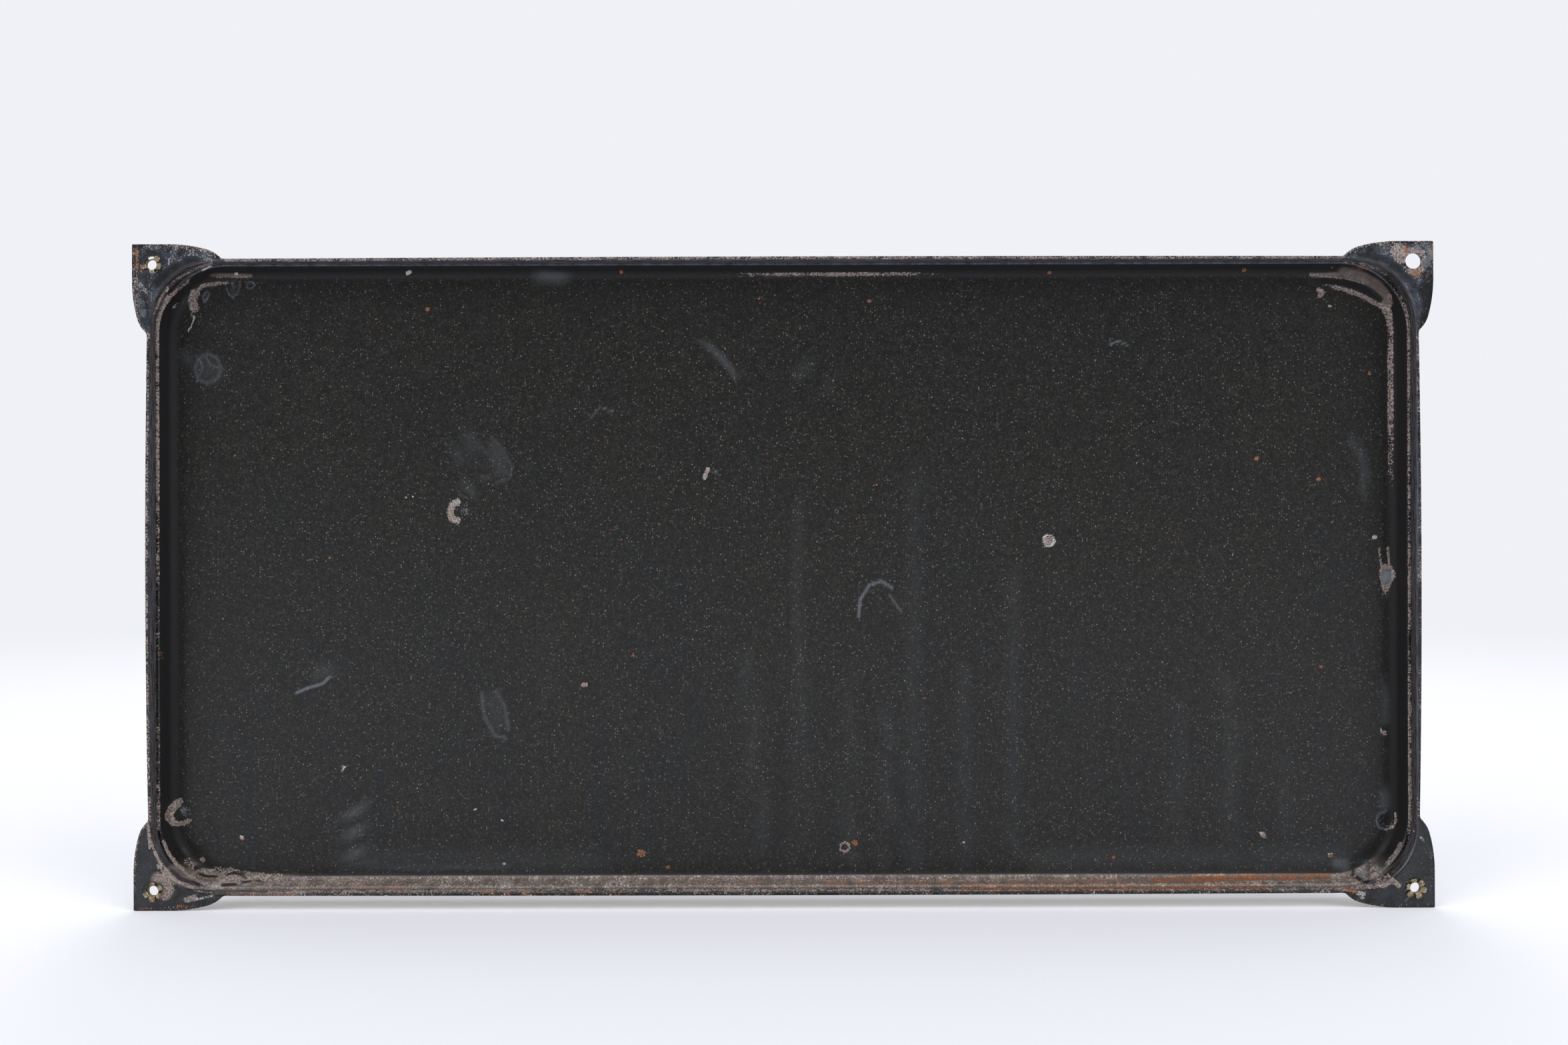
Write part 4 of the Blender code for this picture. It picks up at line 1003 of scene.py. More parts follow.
def paint_panel(panel):
    """Writes the wear, the painted shade and the painted highlights onto the vertices and raises or sinks
    the enamel on the back.
    """
    mesh = panel.data
    count = len(mesh.vertices)
    points = mesh_points(mesh)
    pixels = photo_pixels(points)
    way, facing_x, facing_z = section_place(points)
    depth = points[:, 1] - EAR_BACK
    layers = {name: np.zeros(count) for name in LAYERS + ("relief",)}
    upper = points[:, 2] > 0

    def lay(name, amount):
        layers[name] = np.maximum(layers[name], amount)

    sides = {"right": smooth_step(0.6, 0.97, facing_x), "left": smooth_step(0.6, 0.97, -facing_x),
             "top": smooth_step(0.6, 0.97, facing_z), "bottom": smooth_step(0.6, 0.97, -facing_z)}
    for side, weight in sides.items():
        level = side in ("top", "bottom")
        along = points[:, 0] if level else points[:, 2]
        for number, (layer, start, end, strength, run) in enumerate(SIDE_BANDS[side]):
            # The black bands on the walls are painted shade, which fades softly into the field
            fade = 3.0 if layer == "black" and start < 12 else 0.4
            band = window(start - 0.4, start + 0.4, end - fade, end + fade, way)
            band *= np.interp(pixels[:, 0 if level else 1], *zip(*run))
            if layer in BAND_UNEVENNESS:
                phase = 1.7 * number + 5 * SIDE_NUMBER[side]
                waves = (np.sin(along / (11 * MM) + phase) + np.sin(along / (29 * MM) + 2 * phase)
                         + np.sin(along / (4.7 * MM) + 3 * phase)) / 3
                band = band * (1 + BAND_UNEVENNESS[layer] * waves)
            lay(layer, weight * band * strength)
    corner = 1 - np.maximum.reduce(list(sides.values()))
    lay("lines", corner * window(0.2, 1.0, 7.0, 7.8, way) * CORNER_LINES)
    lay("burnt", corner * window(7.4, 8.2, 10.2, 11.0, way) * CORNER_BURN)
    # Painted shade round the corners: the walls inside the pan go black there too, fading far into the
    # field
    lay("black", np.minimum(1.4 * corner, 1.0) * window(10.9, 11.6, 27.0, 36.0, way))

    flat = np.stack((points[:, 0], points[:, 2]), axis=1)
    outline = outline_points()
    near = np.flatnonzero(depth < 1.2 * MM)
    to_edge = np.full(count, 1.0)
    to_edge[near] = distance_to_line(flat[near], outline + outline[:1])
    lip = 1 - smooth_step(1.0 * MM, 2.2 * MM, to_edge)
    for side, weight in sides.items():
        lay("burnt", weight * lip * LIP_WEAR[side])
    lay("burnt", np.where(upper, *EDGE_WEAR) * (1 - smooth_step(0.3 * MM, 1.3 * MM, to_edge)))
    layers["edge"] = 1 - smooth_step(0.2 * MM, 1.6 * MM, to_edge)
    on_ear = smooth_step(0.6 * MM, 1.6 * MM, to_edge) * (1 - smooth_step(0.2 * MM, 0.8 * MM, depth))
    lay("black", EAR_BLACK * on_ear)
    layers["gloss"] = 1 - smooth_step(9.8, 11.4, way)
    lay("steel", np.where(upper, *EAR_STEEL) * on_ear)
    lay("pale", np.where(upper, *EAR_PALE) * on_ear)
    for x, z in hole_centres().values():
        from_hole = np.hypot(points[:, 0] - x, points[:, 2] - z)
        ring = 1 - smooth_step(HOLE_RADIUS + 0.3 * MM, HOLE_RADIUS + 1.5 * MM, from_hole)
        ring = ring * (depth < 1.3 * MM)
        lay("burnt", HOLE_RIM_BURN * ring)
        lay("edge", ring)

    for layer, half, strength, line in marks():
        soft = 1.7 * half if layer == "haze" and half > SOFT_HAZE_PX else 1.0 + 0.5 * half
        gap = distance_to_line(pixels, line)
        stroke = 1 - smooth_step(half - soft / 2, half + soft / 2, gap)
        if layer == "relief":
            layers["relief"] += strength * 0.01 * MM * (1 - smooth_step(0.0, half * 1.15, gap))
        else:
            if layer == "black":
                for other in ("burnt", "rust", "bare", "pale", "scorch", "steel", "haze"):
                    layers[other] *= 1 - stroke * strength
            lay(layer, stroke * strength)

    normals = np.empty(count * 3)
    mesh.vertex_normals.foreach_get("vector", normals)
    backs = normals.reshape(-1, 3)[:, 1] < -0.3
    points[:, 1] -= layers["relief"] * backs
    mesh.vertices.foreach_set("co", points.reshape(-1))
    for name in LAYERS:
        attribute = mesh.attributes.new(name, "FLOAT", "POINT")
        attribute.data.foreach_set("value", layers[name].astype(np.float32))
    mesh.update()


def smooth_shaded(obj, angle):
    """Smooth shading, with edges that turn by more than the angle in degrees kept sharp."""
    obj.data.shade_smooth()
    obj.data.set_sharp_from_angle(angle=math.radians(angle))


# Split eyelets: each petal's direction in degrees from the right, counting upwards,
# how far its tip lies past the hole's edge, and its width at the tip, in millimetres
PETALS = {
    "lower_right": ((104, 0.6, 3.5), (39, 1.2, 3.5), (-14, 1.95, 3.4), (-67, 1.8, 3.6), (-131, 1.7, 3.1),
                    (171, 0.6, 3.4)),
    "upper_left": ((45, 1.5, 3.2), (-13, 1.1, 3.3), (-84, -0.2, 2.5), (197, 1.7, 1.9)),
    "lower_left": ((92, -0.2, 2.7), (26, 1.0, 3.2), (-37, 0.8, 3.2), (-96, 1.7, 3.5), (-151, 1.4, 3.0)),
}
PETAL_BEND_FACETS = 9
PETAL_FACETS_ACROSS = 8
PETAL_TIP_ROWS = ((0.35, 0.0), (0.7, 0.0), (0.88, 0.12), (1.0, 0.42))


def petal_path():
    """(radius, height, share of the straight run) along a petal's middle."""
    root = BORE_RADIUS + BRASS_THICKNESS / 2
    centre = root + PETAL_BEND_RADIUS
    bend_end = centre + PETAL_BEND_RADIUS * math.sin(PETAL_DROOP)
    fall = (HOLE_RADIUS + PETAL_REACH - bend_end) * math.tan(PETAL_DROOP)
    height = SEAT_GAP + 0.3 * MM + fall - PETAL_BEND_RADIUS * math.cos(PETAL_DROOP)
    points = [(root, SEAT_GAP - 0.5 * MM, 0.0)]
    turn = math.pi / 2 + PETAL_DROOP
    for step in range(PETAL_BEND_FACETS + 1):
        angle = turn * step / PETAL_BEND_FACETS
        points.append((centre - PETAL_BEND_RADIUS * math.cos(angle),
                       height + PETAL_BEND_RADIUS * math.sin(angle), 0.0))
    end = points[-1]
    points += [(end[0], end[1], share) for share, _ in PETAL_TIP_ROWS]
    return points, bend_end


def petal_tree(material):
    """Rolls one flat grid for every petal over the ear."""
    tree, given = new_geometry_tree("rolled petals", (
        ("Path", "NodeSocketObject"), ("Rows", "NodeSocketInt"), ("Columns", "NodeSocketInt"),
        ("Centre", "NodeSocketVector"), ("Root Width", "NodeSocketFloat"), ("Droop", "NodeSocketFloat"),
        ("Narrowing", "NodeSocketFloat")))
    place = add(tree, "GeometryNodeInputPosition")
    read = {"data_type": "FLOAT_VECTOR"}
    petals = add(tree, "GeometryNodeStoreNamedAttribute", {
        "Geometry": given["Geometry"], "Name": "petal", "Value": place}, **read)
    gathered = add(tree, "GeometryNodeSetPosition", {"Geometry": petals, "Position": (0, 0, 0)})
    grid = add(tree, "GeometryNodeMeshGrid", {
        "Vertices X": given["Rows"], "Vertices Y": given["Columns"]})
    index = add(tree, "GeometryNodeInputIndex")
    row = add(tree, MATH, index, given["Columns"], operation="DIVIDE")
    row = add(tree, MATH, row, operation="FLOOR")
    column = add(tree, MATH, index, given["Columns"], operation="MODULO")
    last_column = add(tree, MATH, given["Columns"], 1.0, operation="SUBTRACT")
    side = add(tree, MATH, column, last_column, operation="DIVIDE")
    side = add(tree, MATH, side, 0.5, operation="SUBTRACT")
    grid_place = add(tree, "ShaderNodeCombineXYZ", row, side)
    marked = add(tree, "GeometryNodeStoreNamedAttribute", {
        "Geometry": grid, "Name": "on petal", "Value": grid_place}, **read)
    each = add(tree, "GeometryNodeInstanceOnPoints", {"Points": gathered, "Instance": marked})
    real = add(tree, "GeometryNodeRealizeInstances", each)

    petal = add(tree, "GeometryNodeInputNamedAttribute", {"Name": "petal"}, **read)
    spot = add(tree, "GeometryNodeInputNamedAttribute", {"Name": "on petal"}, **read)
    direction, run, tip_width = add(tree, "ShaderNodeSeparateXYZ", petal).node.outputs
    row, side, _ = add(tree, "ShaderNodeSeparateXYZ", spot).node.outputs
    path = add(tree, "GeometryNodeObjectInfo", {"Object": given["Path"]}).node.outputs["Geometry"]
    at_row = add(tree, "GeometryNodeSampleIndex", path, place, row, domain="POINT", **read)
    radius, height, share = add(tree, "ShaderNodeSeparateXYZ", at_row).node.outputs
    reach = add(tree, MATH, share, run, operation="MULTIPLY")
    radius = add(tree, MATH, radius, reach)
    slope = add(tree, MATH, given["Droop"], operation="TANGENT")
    fall = add(tree, MATH, reach, slope, operation="MULTIPLY")
    height = add(tree, MATH, height, fall, operation="SUBTRACT")

    last_row = add(tree, MATH, given["Rows"], 1.0, operation="SUBTRACT")
    spread = add(tree, MATH, row, last_row, operation="DIVIDE")
    widening = add(tree, MATH, tip_width, given["Root Width"], operation="SUBTRACT")
    width = add(tree, MATH, spread, widening, given["Root Width"], operation="MULTIPLY_ADD")
    rounding = add(tree, MATH, share, 5.0, operation="POWER")
    rounding = add(tree, MATH, rounding, given["Narrowing"], operation="MULTIPLY")
    width = add(tree, MATH, width, rounding, operation="SUBTRACT")
    across = add(tree, MATH, side, width, operation="MULTIPLY")

    # The root is on the barrel's round, and the tip is straight across
    radius_squared = add(tree, MATH, radius, radius, operation="MULTIPLY")
    across_squared = add(tree, MATH, across, across, operation="MULTIPLY")
    on_round = add(tree, MATH, radius_squared, across_squared, operation="SUBTRACT")
    on_round = add(tree, MATH, on_round, operation="SQRT")
    straightened = add(tree, MATH, radius, on_round, operation="SUBTRACT")
    out = add(tree, MATH, straightened, spread, on_round, operation="MULTIPLY_ADD")
    cos = add(tree, MATH, direction, operation="COSINE")
    sin = add(tree, MATH, direction, operation="SINE")
    out_x = add(tree, MATH, out, cos, operation="MULTIPLY")
    out_z = add(tree, MATH, out, sin, operation="MULTIPLY")
    across_x = add(tree, MATH, across, sin, operation="MULTIPLY")
    x = add(tree, MATH, out_x, across_x, operation="SUBTRACT")
    z = add(tree, MATH, across, cos, out_z, operation="MULTIPLY_ADD")
    back = add(tree, MATH, height, -1.0, operation="MULTIPLY")
    rolled = add(tree, "ShaderNodeCombineXYZ", x, back, z)
    placed = add(tree, "ShaderNodeVectorMath", rolled, given["Centre"])
    bent = add(tree, "GeometryNodeSetPosition", {"Geometry": real, "Position": placed})
    close_geometry_tree(tree, bent, material)
    return tree


def turned(name, profile, centre):
    """A ring turned about the hole's axis on a closed profile of (radius, height) points."""
    bm = bmesh.new()
    rings = []
    for step in range(HOLE_SIDES):
        angle = 2 * math.pi * step / HOLE_SIDES
        rings.append([bm.verts.new((centre[0] + r * math.cos(angle), centre[1] - h,
                                    centre[2] + r * math.sin(angle))) for r, h in profile])
    for ring, following in zip(rings, rings[1:] + rings[:1]):
        for i in range(len(profile)):
            j = (i + 1) % len(profile)
            bm.faces.new((ring[i], ring[j], following[j], following[i]))
    bmesh.ops.recalc_face_normals(bm, faces=bm.faces)
    return object_from_bmesh(bm, name)


def barrel_profile():
    """The barrel, its front flange and its rounded mouth, as (radius, height) points."""
    front = -SHEET_THICKNESS - SEAT_GAP
    face = front - BRASS_THICKNESS
    edge = 0.12 * MM
    outer = BORE_RADIUS + BRASS_THICKNESS
    profile = [(outer, SEAT_GAP), (outer, front), (FLANGE_RADIUS - edge, front),
               (FLANGE_RADIUS, front - edge), (FLANGE_RADIUS, face + edge), (FLANGE_RADIUS - edge, face)]
    for step in range(BEND_STEPS + 1):
        angle = math.pi / 2 * step / BEND_STEPS
        profile.append((BORE_RADIUS + MOUTH_RADIUS * (1 - math.sin(angle)),
                        face + MOUTH_RADIUS * (1 - math.cos(angle))))
    profile.append((BORE_RADIUS, SEAT_GAP))
    return profile


def flange_break(centre):
    """A wedge with a ragged inner edge, for the piece lost from a flange."""
    inner = BORE_RADIUS + BRASS_THICKNESS + FLANGE_BREAK_MARGIN
    points = []
    start, end = FLANGE_BREAK
    ragged = (0.25, 0.1, 0.0, 0.12, 0.15, 0.04, 0.05, 0.2, 0.3)
    for number, share in enumerate(ragged):
        angle = start + (end - start) * number / (len(ragged) - 1)
        radius = inner + FLANGE_BREAK_RAGGEDNESS * share
        points.append((centre[0] + radius * math.cos(angle), centre[2] + radius * math.sin(angle)))
    for angle in (end, start):
        points.append((centre[0] + FLANGE_BREAK_REACH * math.cos(angle),
                       centre[2] + FLANGE_BREAK_REACH * math.sin(angle)))
    return block("flange break", points, EAR_BACK + SEAT_GAP, EAR_BACK + FLANGE_BREAK_DEPTH)


def make_eyelet(corner, brass):
    """A turned barrel and flange, joined with the petals that roll over the ear."""
    x, z = hole_centres()[corner]
    sag = UPPER_LEFT_SAG if corner == "upper_left" else 0.0
    centre = (x, EAR_BACK, z - sag)
    path, bend_end = petal_path()
    shortest = bend_end + 0.7 * MM
    petals = [(math.radians(d), max(HOLE_RADIUS + past * MM, shortest) - bend_end, width * MM)
              for d, past, width in PETALS[corner]]
    rolled = points_object("petals " + corner, petals)
    way = points_object("petal path", path)
    roll = rolled.modifiers.new("Roll", "NODES")
    roll.node_group = petal_tree(brass)
    set_tree_inputs(roll, {
        "Path": way, "Rows": len(path), "Columns": PETAL_FACETS_ACROSS + 1, "Centre": centre,
        "Root Width": PETAL_ROOT_WIDTH, "Droop": PETAL_DROOP, "Narrowing": 1.3 * MM})
    petals = applied(rolled, "petals " + corner)
    bpy.data.objects.remove(way)
    skin = petals.modifiers.new("Brass sheet", "SOLIDIFY")
    skin.thickness = PETAL_THICKNESS
    skin.offset = 0.0
    skin.use_even_offset = True
    barrel = turned("eyelet " + corner, barrel_profile(), centre)
    barrel.data.materials.append(brass)
    tools = [(petals, "UNION")]
    if corner == "upper_left":
        tools.append((flange_break(centre), "DIFFERENCE"))
    for tool, operation in tools:
        joint = barrel.modifiers.new(operation.title(), "BOOLEAN")
        joint.operation = operation
        joint.object = tool
        joint.solver = "EXACT"
    eyelet = applied(barrel, "brass_eyelet_" + corner)
    for tool, _ in tools:
        bpy.data.objects.remove(tool)
    eyelet.data.materials.clear()
    eyelet.data.materials.append(brass)
    eyelet.data.polygons.foreach_set("material_index", [0] * len(eyelet.data.polygons))
    points = mesh_points(eyelet.data)
    from_axis = np.hypot(points[:, 0] - centre[0], points[:, 2] - centre[2])
    bore = (from_axis < BORE_RADIUS + 0.1 * MM) & (points[:, 1] > EAR_BACK - 0.9 * MM)
    attribute = eyelet.data.attributes.new("bore", "FLOAT", "POINT")
    attribute.data.foreach_set("value", bore.astype(np.float32))
    smooth_shaded(eyelet, EYELET_SHARP_ANGLE)
    return eyelet


# Materials

def new_material(name):
    """An empty material, its node tree and its output node."""
    material = bpy.data.materials.new(name)
    material.use_nodes = True
    tree = material.node_tree
    tree.nodes.clear()
    output = tree.nodes.new("ShaderNodeOutputMaterial")
    return material, tree, output


def back_enamel_material():
    """Vitreous enamel ground coat fired on pressed steel: charcoal, glossy and full of
    fine specks; where it burnt thin it is pink-tan and granular, and orange rust comes
    through the chips."""
    material, tree, output = new_material("fired_ground_coat_enamel")
    place = add(tree, "ShaderNodeTexCoord").node.outputs["Object"]
    shifted = add(tree, "ShaderNodeMapping", {"Vector": place, "Location": (0.37, 0.11, 0.23)})
    layer = {}
    for name in LAYERS:
        layer[name] = add(tree, "ShaderNodeAttribute", attribute_name=name).node.outputs["Fac"]

    # Grains and patches of wear, drawn out down the walls
    down_walls = add(tree, "ShaderNodeMapping", {"Vector": place, "Scale": (1.0, 0.4, 1.0)})
    grain = add(tree, NOISE, down_walls, 1 / (0.95 * MM), 3.0, 0.62)
    patches = add(tree, NOISE, down_walls, 1 / (6.5 * MM), 4.0, 0.55)
    fine = add(tree, NOISE, place, 1 / (0.55 * MM), 1.0)
    centred = add(tree, MATH, patches, -0.5)
    broken = add(tree, MATH, centred, 0.9, -0.75, operation="MULTIPLY_ADD")
    broken = add(tree, MATH, grain, 1.5, broken, operation="MULTIPLY_ADD")

    def worn(name, harshness):
        """Where a layer shows: its density, broken up into grains."""
        level = add(tree, MATH, layer[name], broken)
        level = add(tree, MATH, level, -0.5)
        mask = add(tree, MATH, level, harshness, operation="MULTIPLY", use_clamp=True)
        present = add(tree, RANGE, layer[name], 0.02, 0.12)
        return add(tree, MATH, mask, present, operation="MULTIPLY")

    def coated(colour, share, noise, low, high, dark, light):
        """The colour under a coat that goes from dark to light with a noise."""
        tone = add(tree, RANGE, noise, low, high)
        tone = add(tree, MIX, tone, linear(dark), linear(light), data_type="RGBA")
        return add(tree, MIX, share, colour, tone, data_type="RGBA")

    # The field: fine grain, soft clouds and bluish runs down its lower half
    mottle = add(tree, NOISE, shifted, 1 / (0.95 * MM), 2.0, 0.7)
    clouds = add(tree, NOISE, shifted, 1 / (55 * MM), 3.0)
    run_place = add(tree, "ShaderNodeMapping", {"Vector": place, "Scale": (1.0, 1.0, 0.045)})
    runs = add(tree, NOISE, run_place, 1 / (12 * MM), 2.0)
    _, _, height = add(tree, "ShaderNodeSeparateXYZ", place).node.outputs
    low = add(tree, RANGE, height, -0.01, -0.15, 0.0, 0.85)
    runs = add(tree, RANGE, runs, 0.50, 0.66)
    runs = add(tree, MATH, runs, low, operation="MULTIPLY")
    clouds = add(tree, RANGE, clouds, 0.40, 0.66, 0.0, 0.45)
    bluish = add(tree, MATH, runs, clouds, operation="MAXIMUM")
    mottle = add(tree, RANGE, mottle, 0.47, 0.70)
    olive = add(tree, MIX, mottle, linear("#080806"), linear("#2f2e24"), data_type="RGBA")
    blue = add(tree, MIX, mottle, linear("#070809"), linear("#25282b"), data_type="RGBA")
    colour = add(tree, MIX, bluish, olive, blue, data_type="RGBA")

    # Two sizes of specks
    for size, largest, strength in ((2.3 * MM, 0.19, 0.60), (1.3 * MM, 0.33, 0.46)):
        cells = add(tree, "ShaderNodeTexVoronoi", {"Vector": shifted, "Scale": 1 / size}).node.outputs
        chance, spread, tint = add(tree, "ShaderNodeSeparateColor", cells["Color"]).node.outputs
        reach = add(tree, RANGE, spread, 0.0, 1.0, 0.08, largest)
        inside = add(tree, MATH, reach, cells["Distance"], operation="SUBTRACT")
        dot = add(tree, RANGE, inside, -0.02, 0.06)
        bright = add(tree, MATH, chance, 3.4, operation="POWER")
        bright = add(tree, MATH, bright, strength, operation="MULTIPLY")
        bright = add(tree, MATH, bright, dot, operation="MULTIPLY")
        cool = add(tree, RANGE, tint, 0.55, 0.75)
        warm = add(tree, RANGE, tint, 0.22, 0.12)
        tone = add(tree, MIX, cool, linear("#a39a86"), linear("#8b97a8"), data_type="RGBA")
        tone = add(tree, MIX, warm, tone, linear("#b07f52"), data_type="RGBA")
        colour = add(tree, MIX, bright, colour, tone, data_type="RGBA")

    # The black coat: painted shade on the walls inside the pan, and unworn enamel and stains in marks; then
    # one coat of wear after another
    share = add(tree, MATH, layer["black"], 0.92, operation="MULTIPLY")
    colour = add(tree, MIX, share, colour, linear("#131315"), data_type="RGBA")
    # Steel: a bluish film, and painted sheen and reflection in a few strokes and on the top ledge
    share = add(tree, RANGE, patches, 0.36, 0.62, 0.15, 1.0)
    share = add(tree, MATH, share, layer["steel"], operation="MULTIPLY")
    colour = coated(colour, share, grain, 0.3, 0.7, "#272c34", "#565e69")
    # Scorch: scorched enamel, and painted light on the lit wall at the upper right
    share = add(tree, RANGE, patches, 0.3, 0.6, 0.6, 1.0)
    share = add(tree, MATH, share, layer["scorch"], operation="MULTIPLY")
    colour = coated(colour, share, grain, 0.3, 0.7, "#6a5e58", "#8c8079")

    # Fine lines run along the first wall
    along = add(tree, "ShaderNodeMapping", {"Vector": place, "Scale": (0.05, 1.0, 0.05)})
    lines = add(tree, NOISE, along, 1 / (0.45 * MM), 3.0, 0.6)
    lines = add(tree, RANGE, lines, 0.36, 0.60)
    share = add(tree, MATH, lines, layer["lines"], operation="MULTIPLY")
    colour = add(tree, MIX, share, colour, linear("#605f64"), data_type="RGBA")

    burnt = worn("burnt", 4.5)
    colour = coated(colour, burnt, grain, 0.36, 0.66, "#463c37", "#aa9b92")
    colour = coated(colour, worn("bare", 4.0), patches, 0.3, 0.7, "#484d52", "#6d7378")
    dust = add(tree, RANGE, fine, 0.3, 0.7, 0.7, 1.3)
    dust = add(tree, MATH, dust, layer["haze"], operation="MULTIPLY")
    colour = add(tree, MIX, dust, colour, linear("#98a0a8"), data_type="RGBA")
    pale = add(tree, RANGE, layer["pale"], 0.1, 0.9, 0.35, 1.0)
    pale = add(tree, MATH, worn("pale", 3.5), pale, operation="MULTIPLY")
    colour = coated(colour, pale, fine, 0.35, 0.65, "#8d8a86", "#c9c6c2")
    rust = worn("rust", 5.0)
    colour = coated(colour, rust, grain, 0.35, 0.65, "#4f2f1c", "#a5673c")

    # Fired gloss, a little dulled on the field and dull where it is worn
    wear = add(tree, MATH, burnt, rust, operation="MAXIMUM")
    wear = add(tree, MATH, wear, pale, operation="MAXIMUM")
    satin = add(tree, RANGE, patches, 0.3, 0.7, 0.27, 0.35)
    satin = add(tree, MIX, layer["black"], satin, 0.75, data_type="FLOAT")
    gloss = add(tree, MIX, layer["gloss"], satin, 0.22, data_type="FLOAT")
    dull = add(tree, RANGE, grain, 0.3, 0.7, 0.5, 0.8)
    roughness = add(tree, MIX, wear, gloss, dull, data_type="FLOAT")
    # The glassiest spots mirror the room sharply and have no colour of their own
    roughness = add(tree, MIX, layer["shine"], roughness, 0.06, data_type="FLOAT")
    relief = add(tree, MATH, grain, 0.4)
    relief = add(tree, MATH, relief, wear, operation="MULTIPLY")
    relief = add(tree, MATH, patches, 0.25, relief, operation="MULTIPLY_ADD")
    bump = add(tree, "ShaderNodeBump", {"Strength": 0.55, "Distance": 0.12 * MM, "Height": relief})
    shader = add(tree, "ShaderNodeBsdfPrincipled", {
        "Base Color": colour, "Roughness": roughness, "IOR": 1.5,
        "Specular IOR Level": 0.4, "Normal": bump})
    tree.links.new(shader, output.inputs["Surface"])
    return material


def front_enamel_material():
    """Plain ivory vitreous enamel, fired glossy, with a faint orange peel; the dark
    ground coat shows where it chipped at the edge and round the holes."""
    material, tree, output = new_material("fired_ivory_enamel")
    place = add(tree, "ShaderNodeTexCoord").node.outputs["Object"]
    edge = add(tree, "ShaderNodeAttribute", attribute_name="edge").node.outputs["Fac"]
    grain = add(tree, NOISE, place, 1 / (1.3 * MM), 3.0, 0.6)
    clouds = add(tree, NOISE, place, 1 / (40 * MM), 3.0)
    peel = add(tree, NOISE, place, 1 / (3.2 * MM), 2.0)
    tone = add(tree, RANGE, clouds, 0.3, 0.7)
    ivory = add(tree, MIX, tone, linear("#ded7c4"), linear("#e6dfcf"), data_type="RGBA")
    level = add(tree, MATH, edge, grain)
    level = add(tree, MATH, level, -1.02)
    chipped = add(tree, MATH, level, 8.0, operation="MULTIPLY", use_clamp=True)
    tone = add(tree, RANGE, grain, 0.56, 0.66)
    under = add(tree, MIX, tone, linear("#242322"), linear("#6b4229"), data_type="RGBA")
    colour = add(tree, MIX, chipped, ivory, under, data_type="RGBA")
    roughness = add(tree, RANGE, chipped, 0.0, 1.0, 0.16, 0.6)
    bump = add(tree, "ShaderNodeBump", {"Strength": 0.12, "Distance": 0.1 * MM, "Height": peel})
    shader = add(tree, "ShaderNodeBsdfPrincipled", {
        "Base Color": colour, "Roughness": roughness, "IOR": 1.5, "Normal": bump})
    tree.links.new(shader, output.inputs["Surface"])
    return material


def brass_material():
    """Pressed brass sheet gone dull with age: olive-tan where rubbed, brown in the bore
    and in the hollows, with fine scratches."""
    material, tree, output = new_material("aged_pressed_brass")
    place = add(tree, "ShaderNodeTexCoord").node.outputs["Object"]
    bore = add(tree, "ShaderNodeAttribute", attribute_name="bore").node.outputs["Fac"]
    grain = add(tree, NOISE, place, 1 / (0.35 * MM), 3.0, 0.6)
    patches = add(tree, NOISE, place, 1 / (1.6 * MM), 3.0, 0.55)
    tone = add(tree, RANGE, patches, 0.38, 0.64)
    rubbed = add(tree, MIX, tone, linear("#73664e"), linear("#b8aa8a"), data_type="RGBA")
    dirt = add(tree, RANGE, grain, 0.58, 0.70, 0.0, 0.7)
    colour = add(tree, MIX, dirt, rubbed, linear("#3a2c1d"), data_type="RGBA")
    share = add(tree, MATH, bore, 0.85, operation="MULTIPLY")
    colour = add(tree, MIX, share, colour, linear("#4a3220"), data_type="RGBA")
    roughness = add(tree, RANGE, patches, 0.3, 0.7, 0.52, 0.36)
    bump = add(tree, "ShaderNodeBump", {"Strength": 0.35, "Distance": 0.05 * MM, "Height": grain})
    shader = add(tree, "ShaderNodeBsdfPrincipled", {
        "Base Color": colour, "Roughness": roughness, "Metallic": 0.9, "Normal": bump})
    tree.links.new(shader, output.inputs["Surface"])
    return material


def floor_material():
    """Matt white studio paper, which runs into the pale backdrop far from the sign."""
    material, tree, output = new_material("matt_studio_paper")
    paper = add(tree, "ShaderNodeBsdfDiffuse", {"Color": linear("#ebecf1")})
    backdrop = add(tree, "ShaderNodeEmission", {"Color": linear(BACKDROP)})
    place = add(tree, "ShaderNodeTexCoord").node.outputs["Object"]
    length = add(tree, "ShaderNodeVectorMath", place, operation="LENGTH").node.outputs["Value"]
    far = add(tree, RANGE, length, 0.5, 2.6, interpolation_type="SMOOTHSTEP")
    seen = add(tree, "ShaderNodeLightPath").node.outputs["Is Camera Ray"]
    share = add(tree, MATH, far, seen, operation="MULTIPLY")
    shader = add(tree, "ShaderNodeMixShader", share, paper, backdrop)
    tree.links.new(shader, output.inputs["Surface"])
    return material


# Studio

def make_floor():
    """The studio paper under the sign."""
    bm = bmesh.new()
    half = FLOOR_HALF_WIDTH
    square = ((-half, -half), (half, -half), (half, half), (-half, half))
    corners = [bm.verts.new((x, y, FLOOR_LEVEL)) for x, y in square]
    bm.faces.new(corners)
    floor = object_from_bmesh(bm, "studio_floor")
    floor.data.materials.append(floor_material())


def aimed(direction):
    """The turn that points a lamp or camera along a direction."""
    return Vector(direction).to_track_quat("-Z", "Y").to_euler()


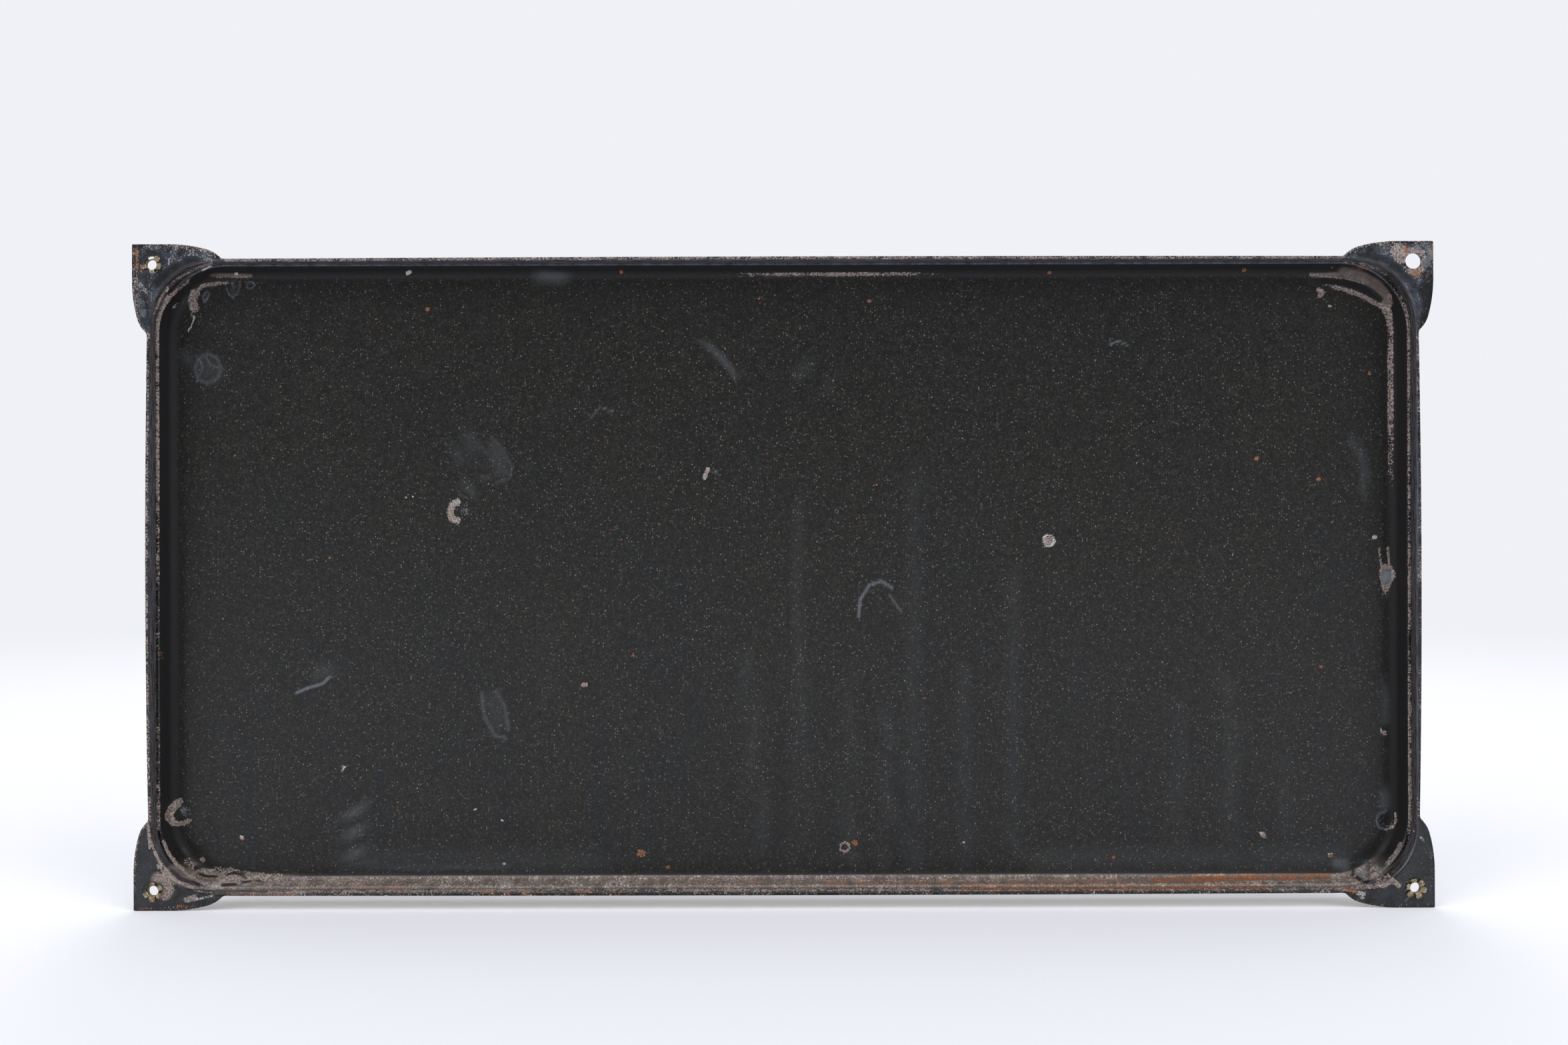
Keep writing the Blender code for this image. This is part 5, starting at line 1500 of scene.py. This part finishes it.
def make_lights():
    """Four soft lamps and the room that the enamel mirrors."""
    # Soft lamps far away, so that the floor is lit evenly to the horizon: the way each
    # shines, its strength and how wide it looks
    lamps = {
        "left softbox": ((0.66, 0.52, -0.55), 1.1, 40),
        "right softbox": ((-0.66, 0.52, -0.55), 1.1, 40),
        "overhead softbox": ((0.0, 0.12, -1.0), 0.95, 60),
        "rear softbox": ((0.0, -0.90, -0.38), 0.6, 38),
    }
    for name, (direction, strength, width) in lamps.items():
        lamp = bpy.data.lights.new(name, "SUN")
        lamp.energy = strength
        lamp.angle = math.radians(width)
        obj = new_object(name, lamp)
        obj.rotation_euler = aimed(direction)
    world = bpy.data.worlds.new("studio")
    bpy.context.scene.world = world
    world.use_nodes = True
    tree = world.node_tree
    tree.nodes.clear()
    output = tree.nodes.new("ShaderNodeOutputWorld")
    # A dim wall behind the camera, dark sides, light overhead and behind the sign. Only
    # camera rays see the pale backdrop
    direction = add(tree, "ShaderNodeTexCoord").node.outputs["Generated"]
    _, depth, height = add(tree, "ShaderNodeSeparateXYZ", direction).node.outputs
    soft = {"interpolation_type": "SMOOTHSTEP"}
    wall = add(tree, RANGE, depth, -0.5, -0.85, 0.09, 0.27, **soft)
    ceiling = add(tree, RANGE, height, 0.05, 0.7, 0.0, 0.38, **soft)
    behind = add(tree, RANGE, depth, 0.0, 0.6, 0.0, 0.30, **soft)
    strength = add(tree, MATH, wall, ceiling)
    strength = add(tree, MATH, strength, behind)
    seen = add(tree, "ShaderNodeLightPath").node.outputs["Is Camera Ray"]
    light = add(tree, "ShaderNodeBackground", {"Color": linear("#f6f8ff"), "Strength": strength})
    backdrop = add(tree, "ShaderNodeBackground", {"Color": linear(BACKDROP), "Strength": 1.0})
    sky = add(tree, "ShaderNodeMixShader", seen, light, backdrop)
    tree.links.new(sky, output.inputs["Surface"])


def make_camera():
    """The photograph's camera, level and square to the sign apart from a slight roll."""
    data = bpy.data.cameras.new("camera")
    data.lens = LENS
    data.sensor_width = FILM_WIDTH
    data.clip_start = 0.01
    camera = new_object("camera", data)
    camera.location = (CAMERA_X, EAR_BACK - CAMERA_DISTANCE, CAMERA_RISE)
    camera.rotation_euler = (math.pi / 2, CAMERA_ROLL, 0.0)
    bpy.context.scene.camera = camera


def main():
    bpy.context.scene.view_settings.view_transform = "Standard"
    make_camera()
    make_lights()
    make_floor()
    back_enamel = back_enamel_material()
    panel = make_panel(back_enamel, front_enamel_material())
    refine_back(panel)
    paint_panel(panel)
    smooth_shaded(panel, PANEL_SHARP_ANGLE)
    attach(panel, "root")
    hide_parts("sign_panel")
    brass = brass_material()
    for corner in PETALS:
        eyelet = make_eyelet(corner, brass)
        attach(eyelet, "root")
        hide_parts("eyelet_" + corner)


main()
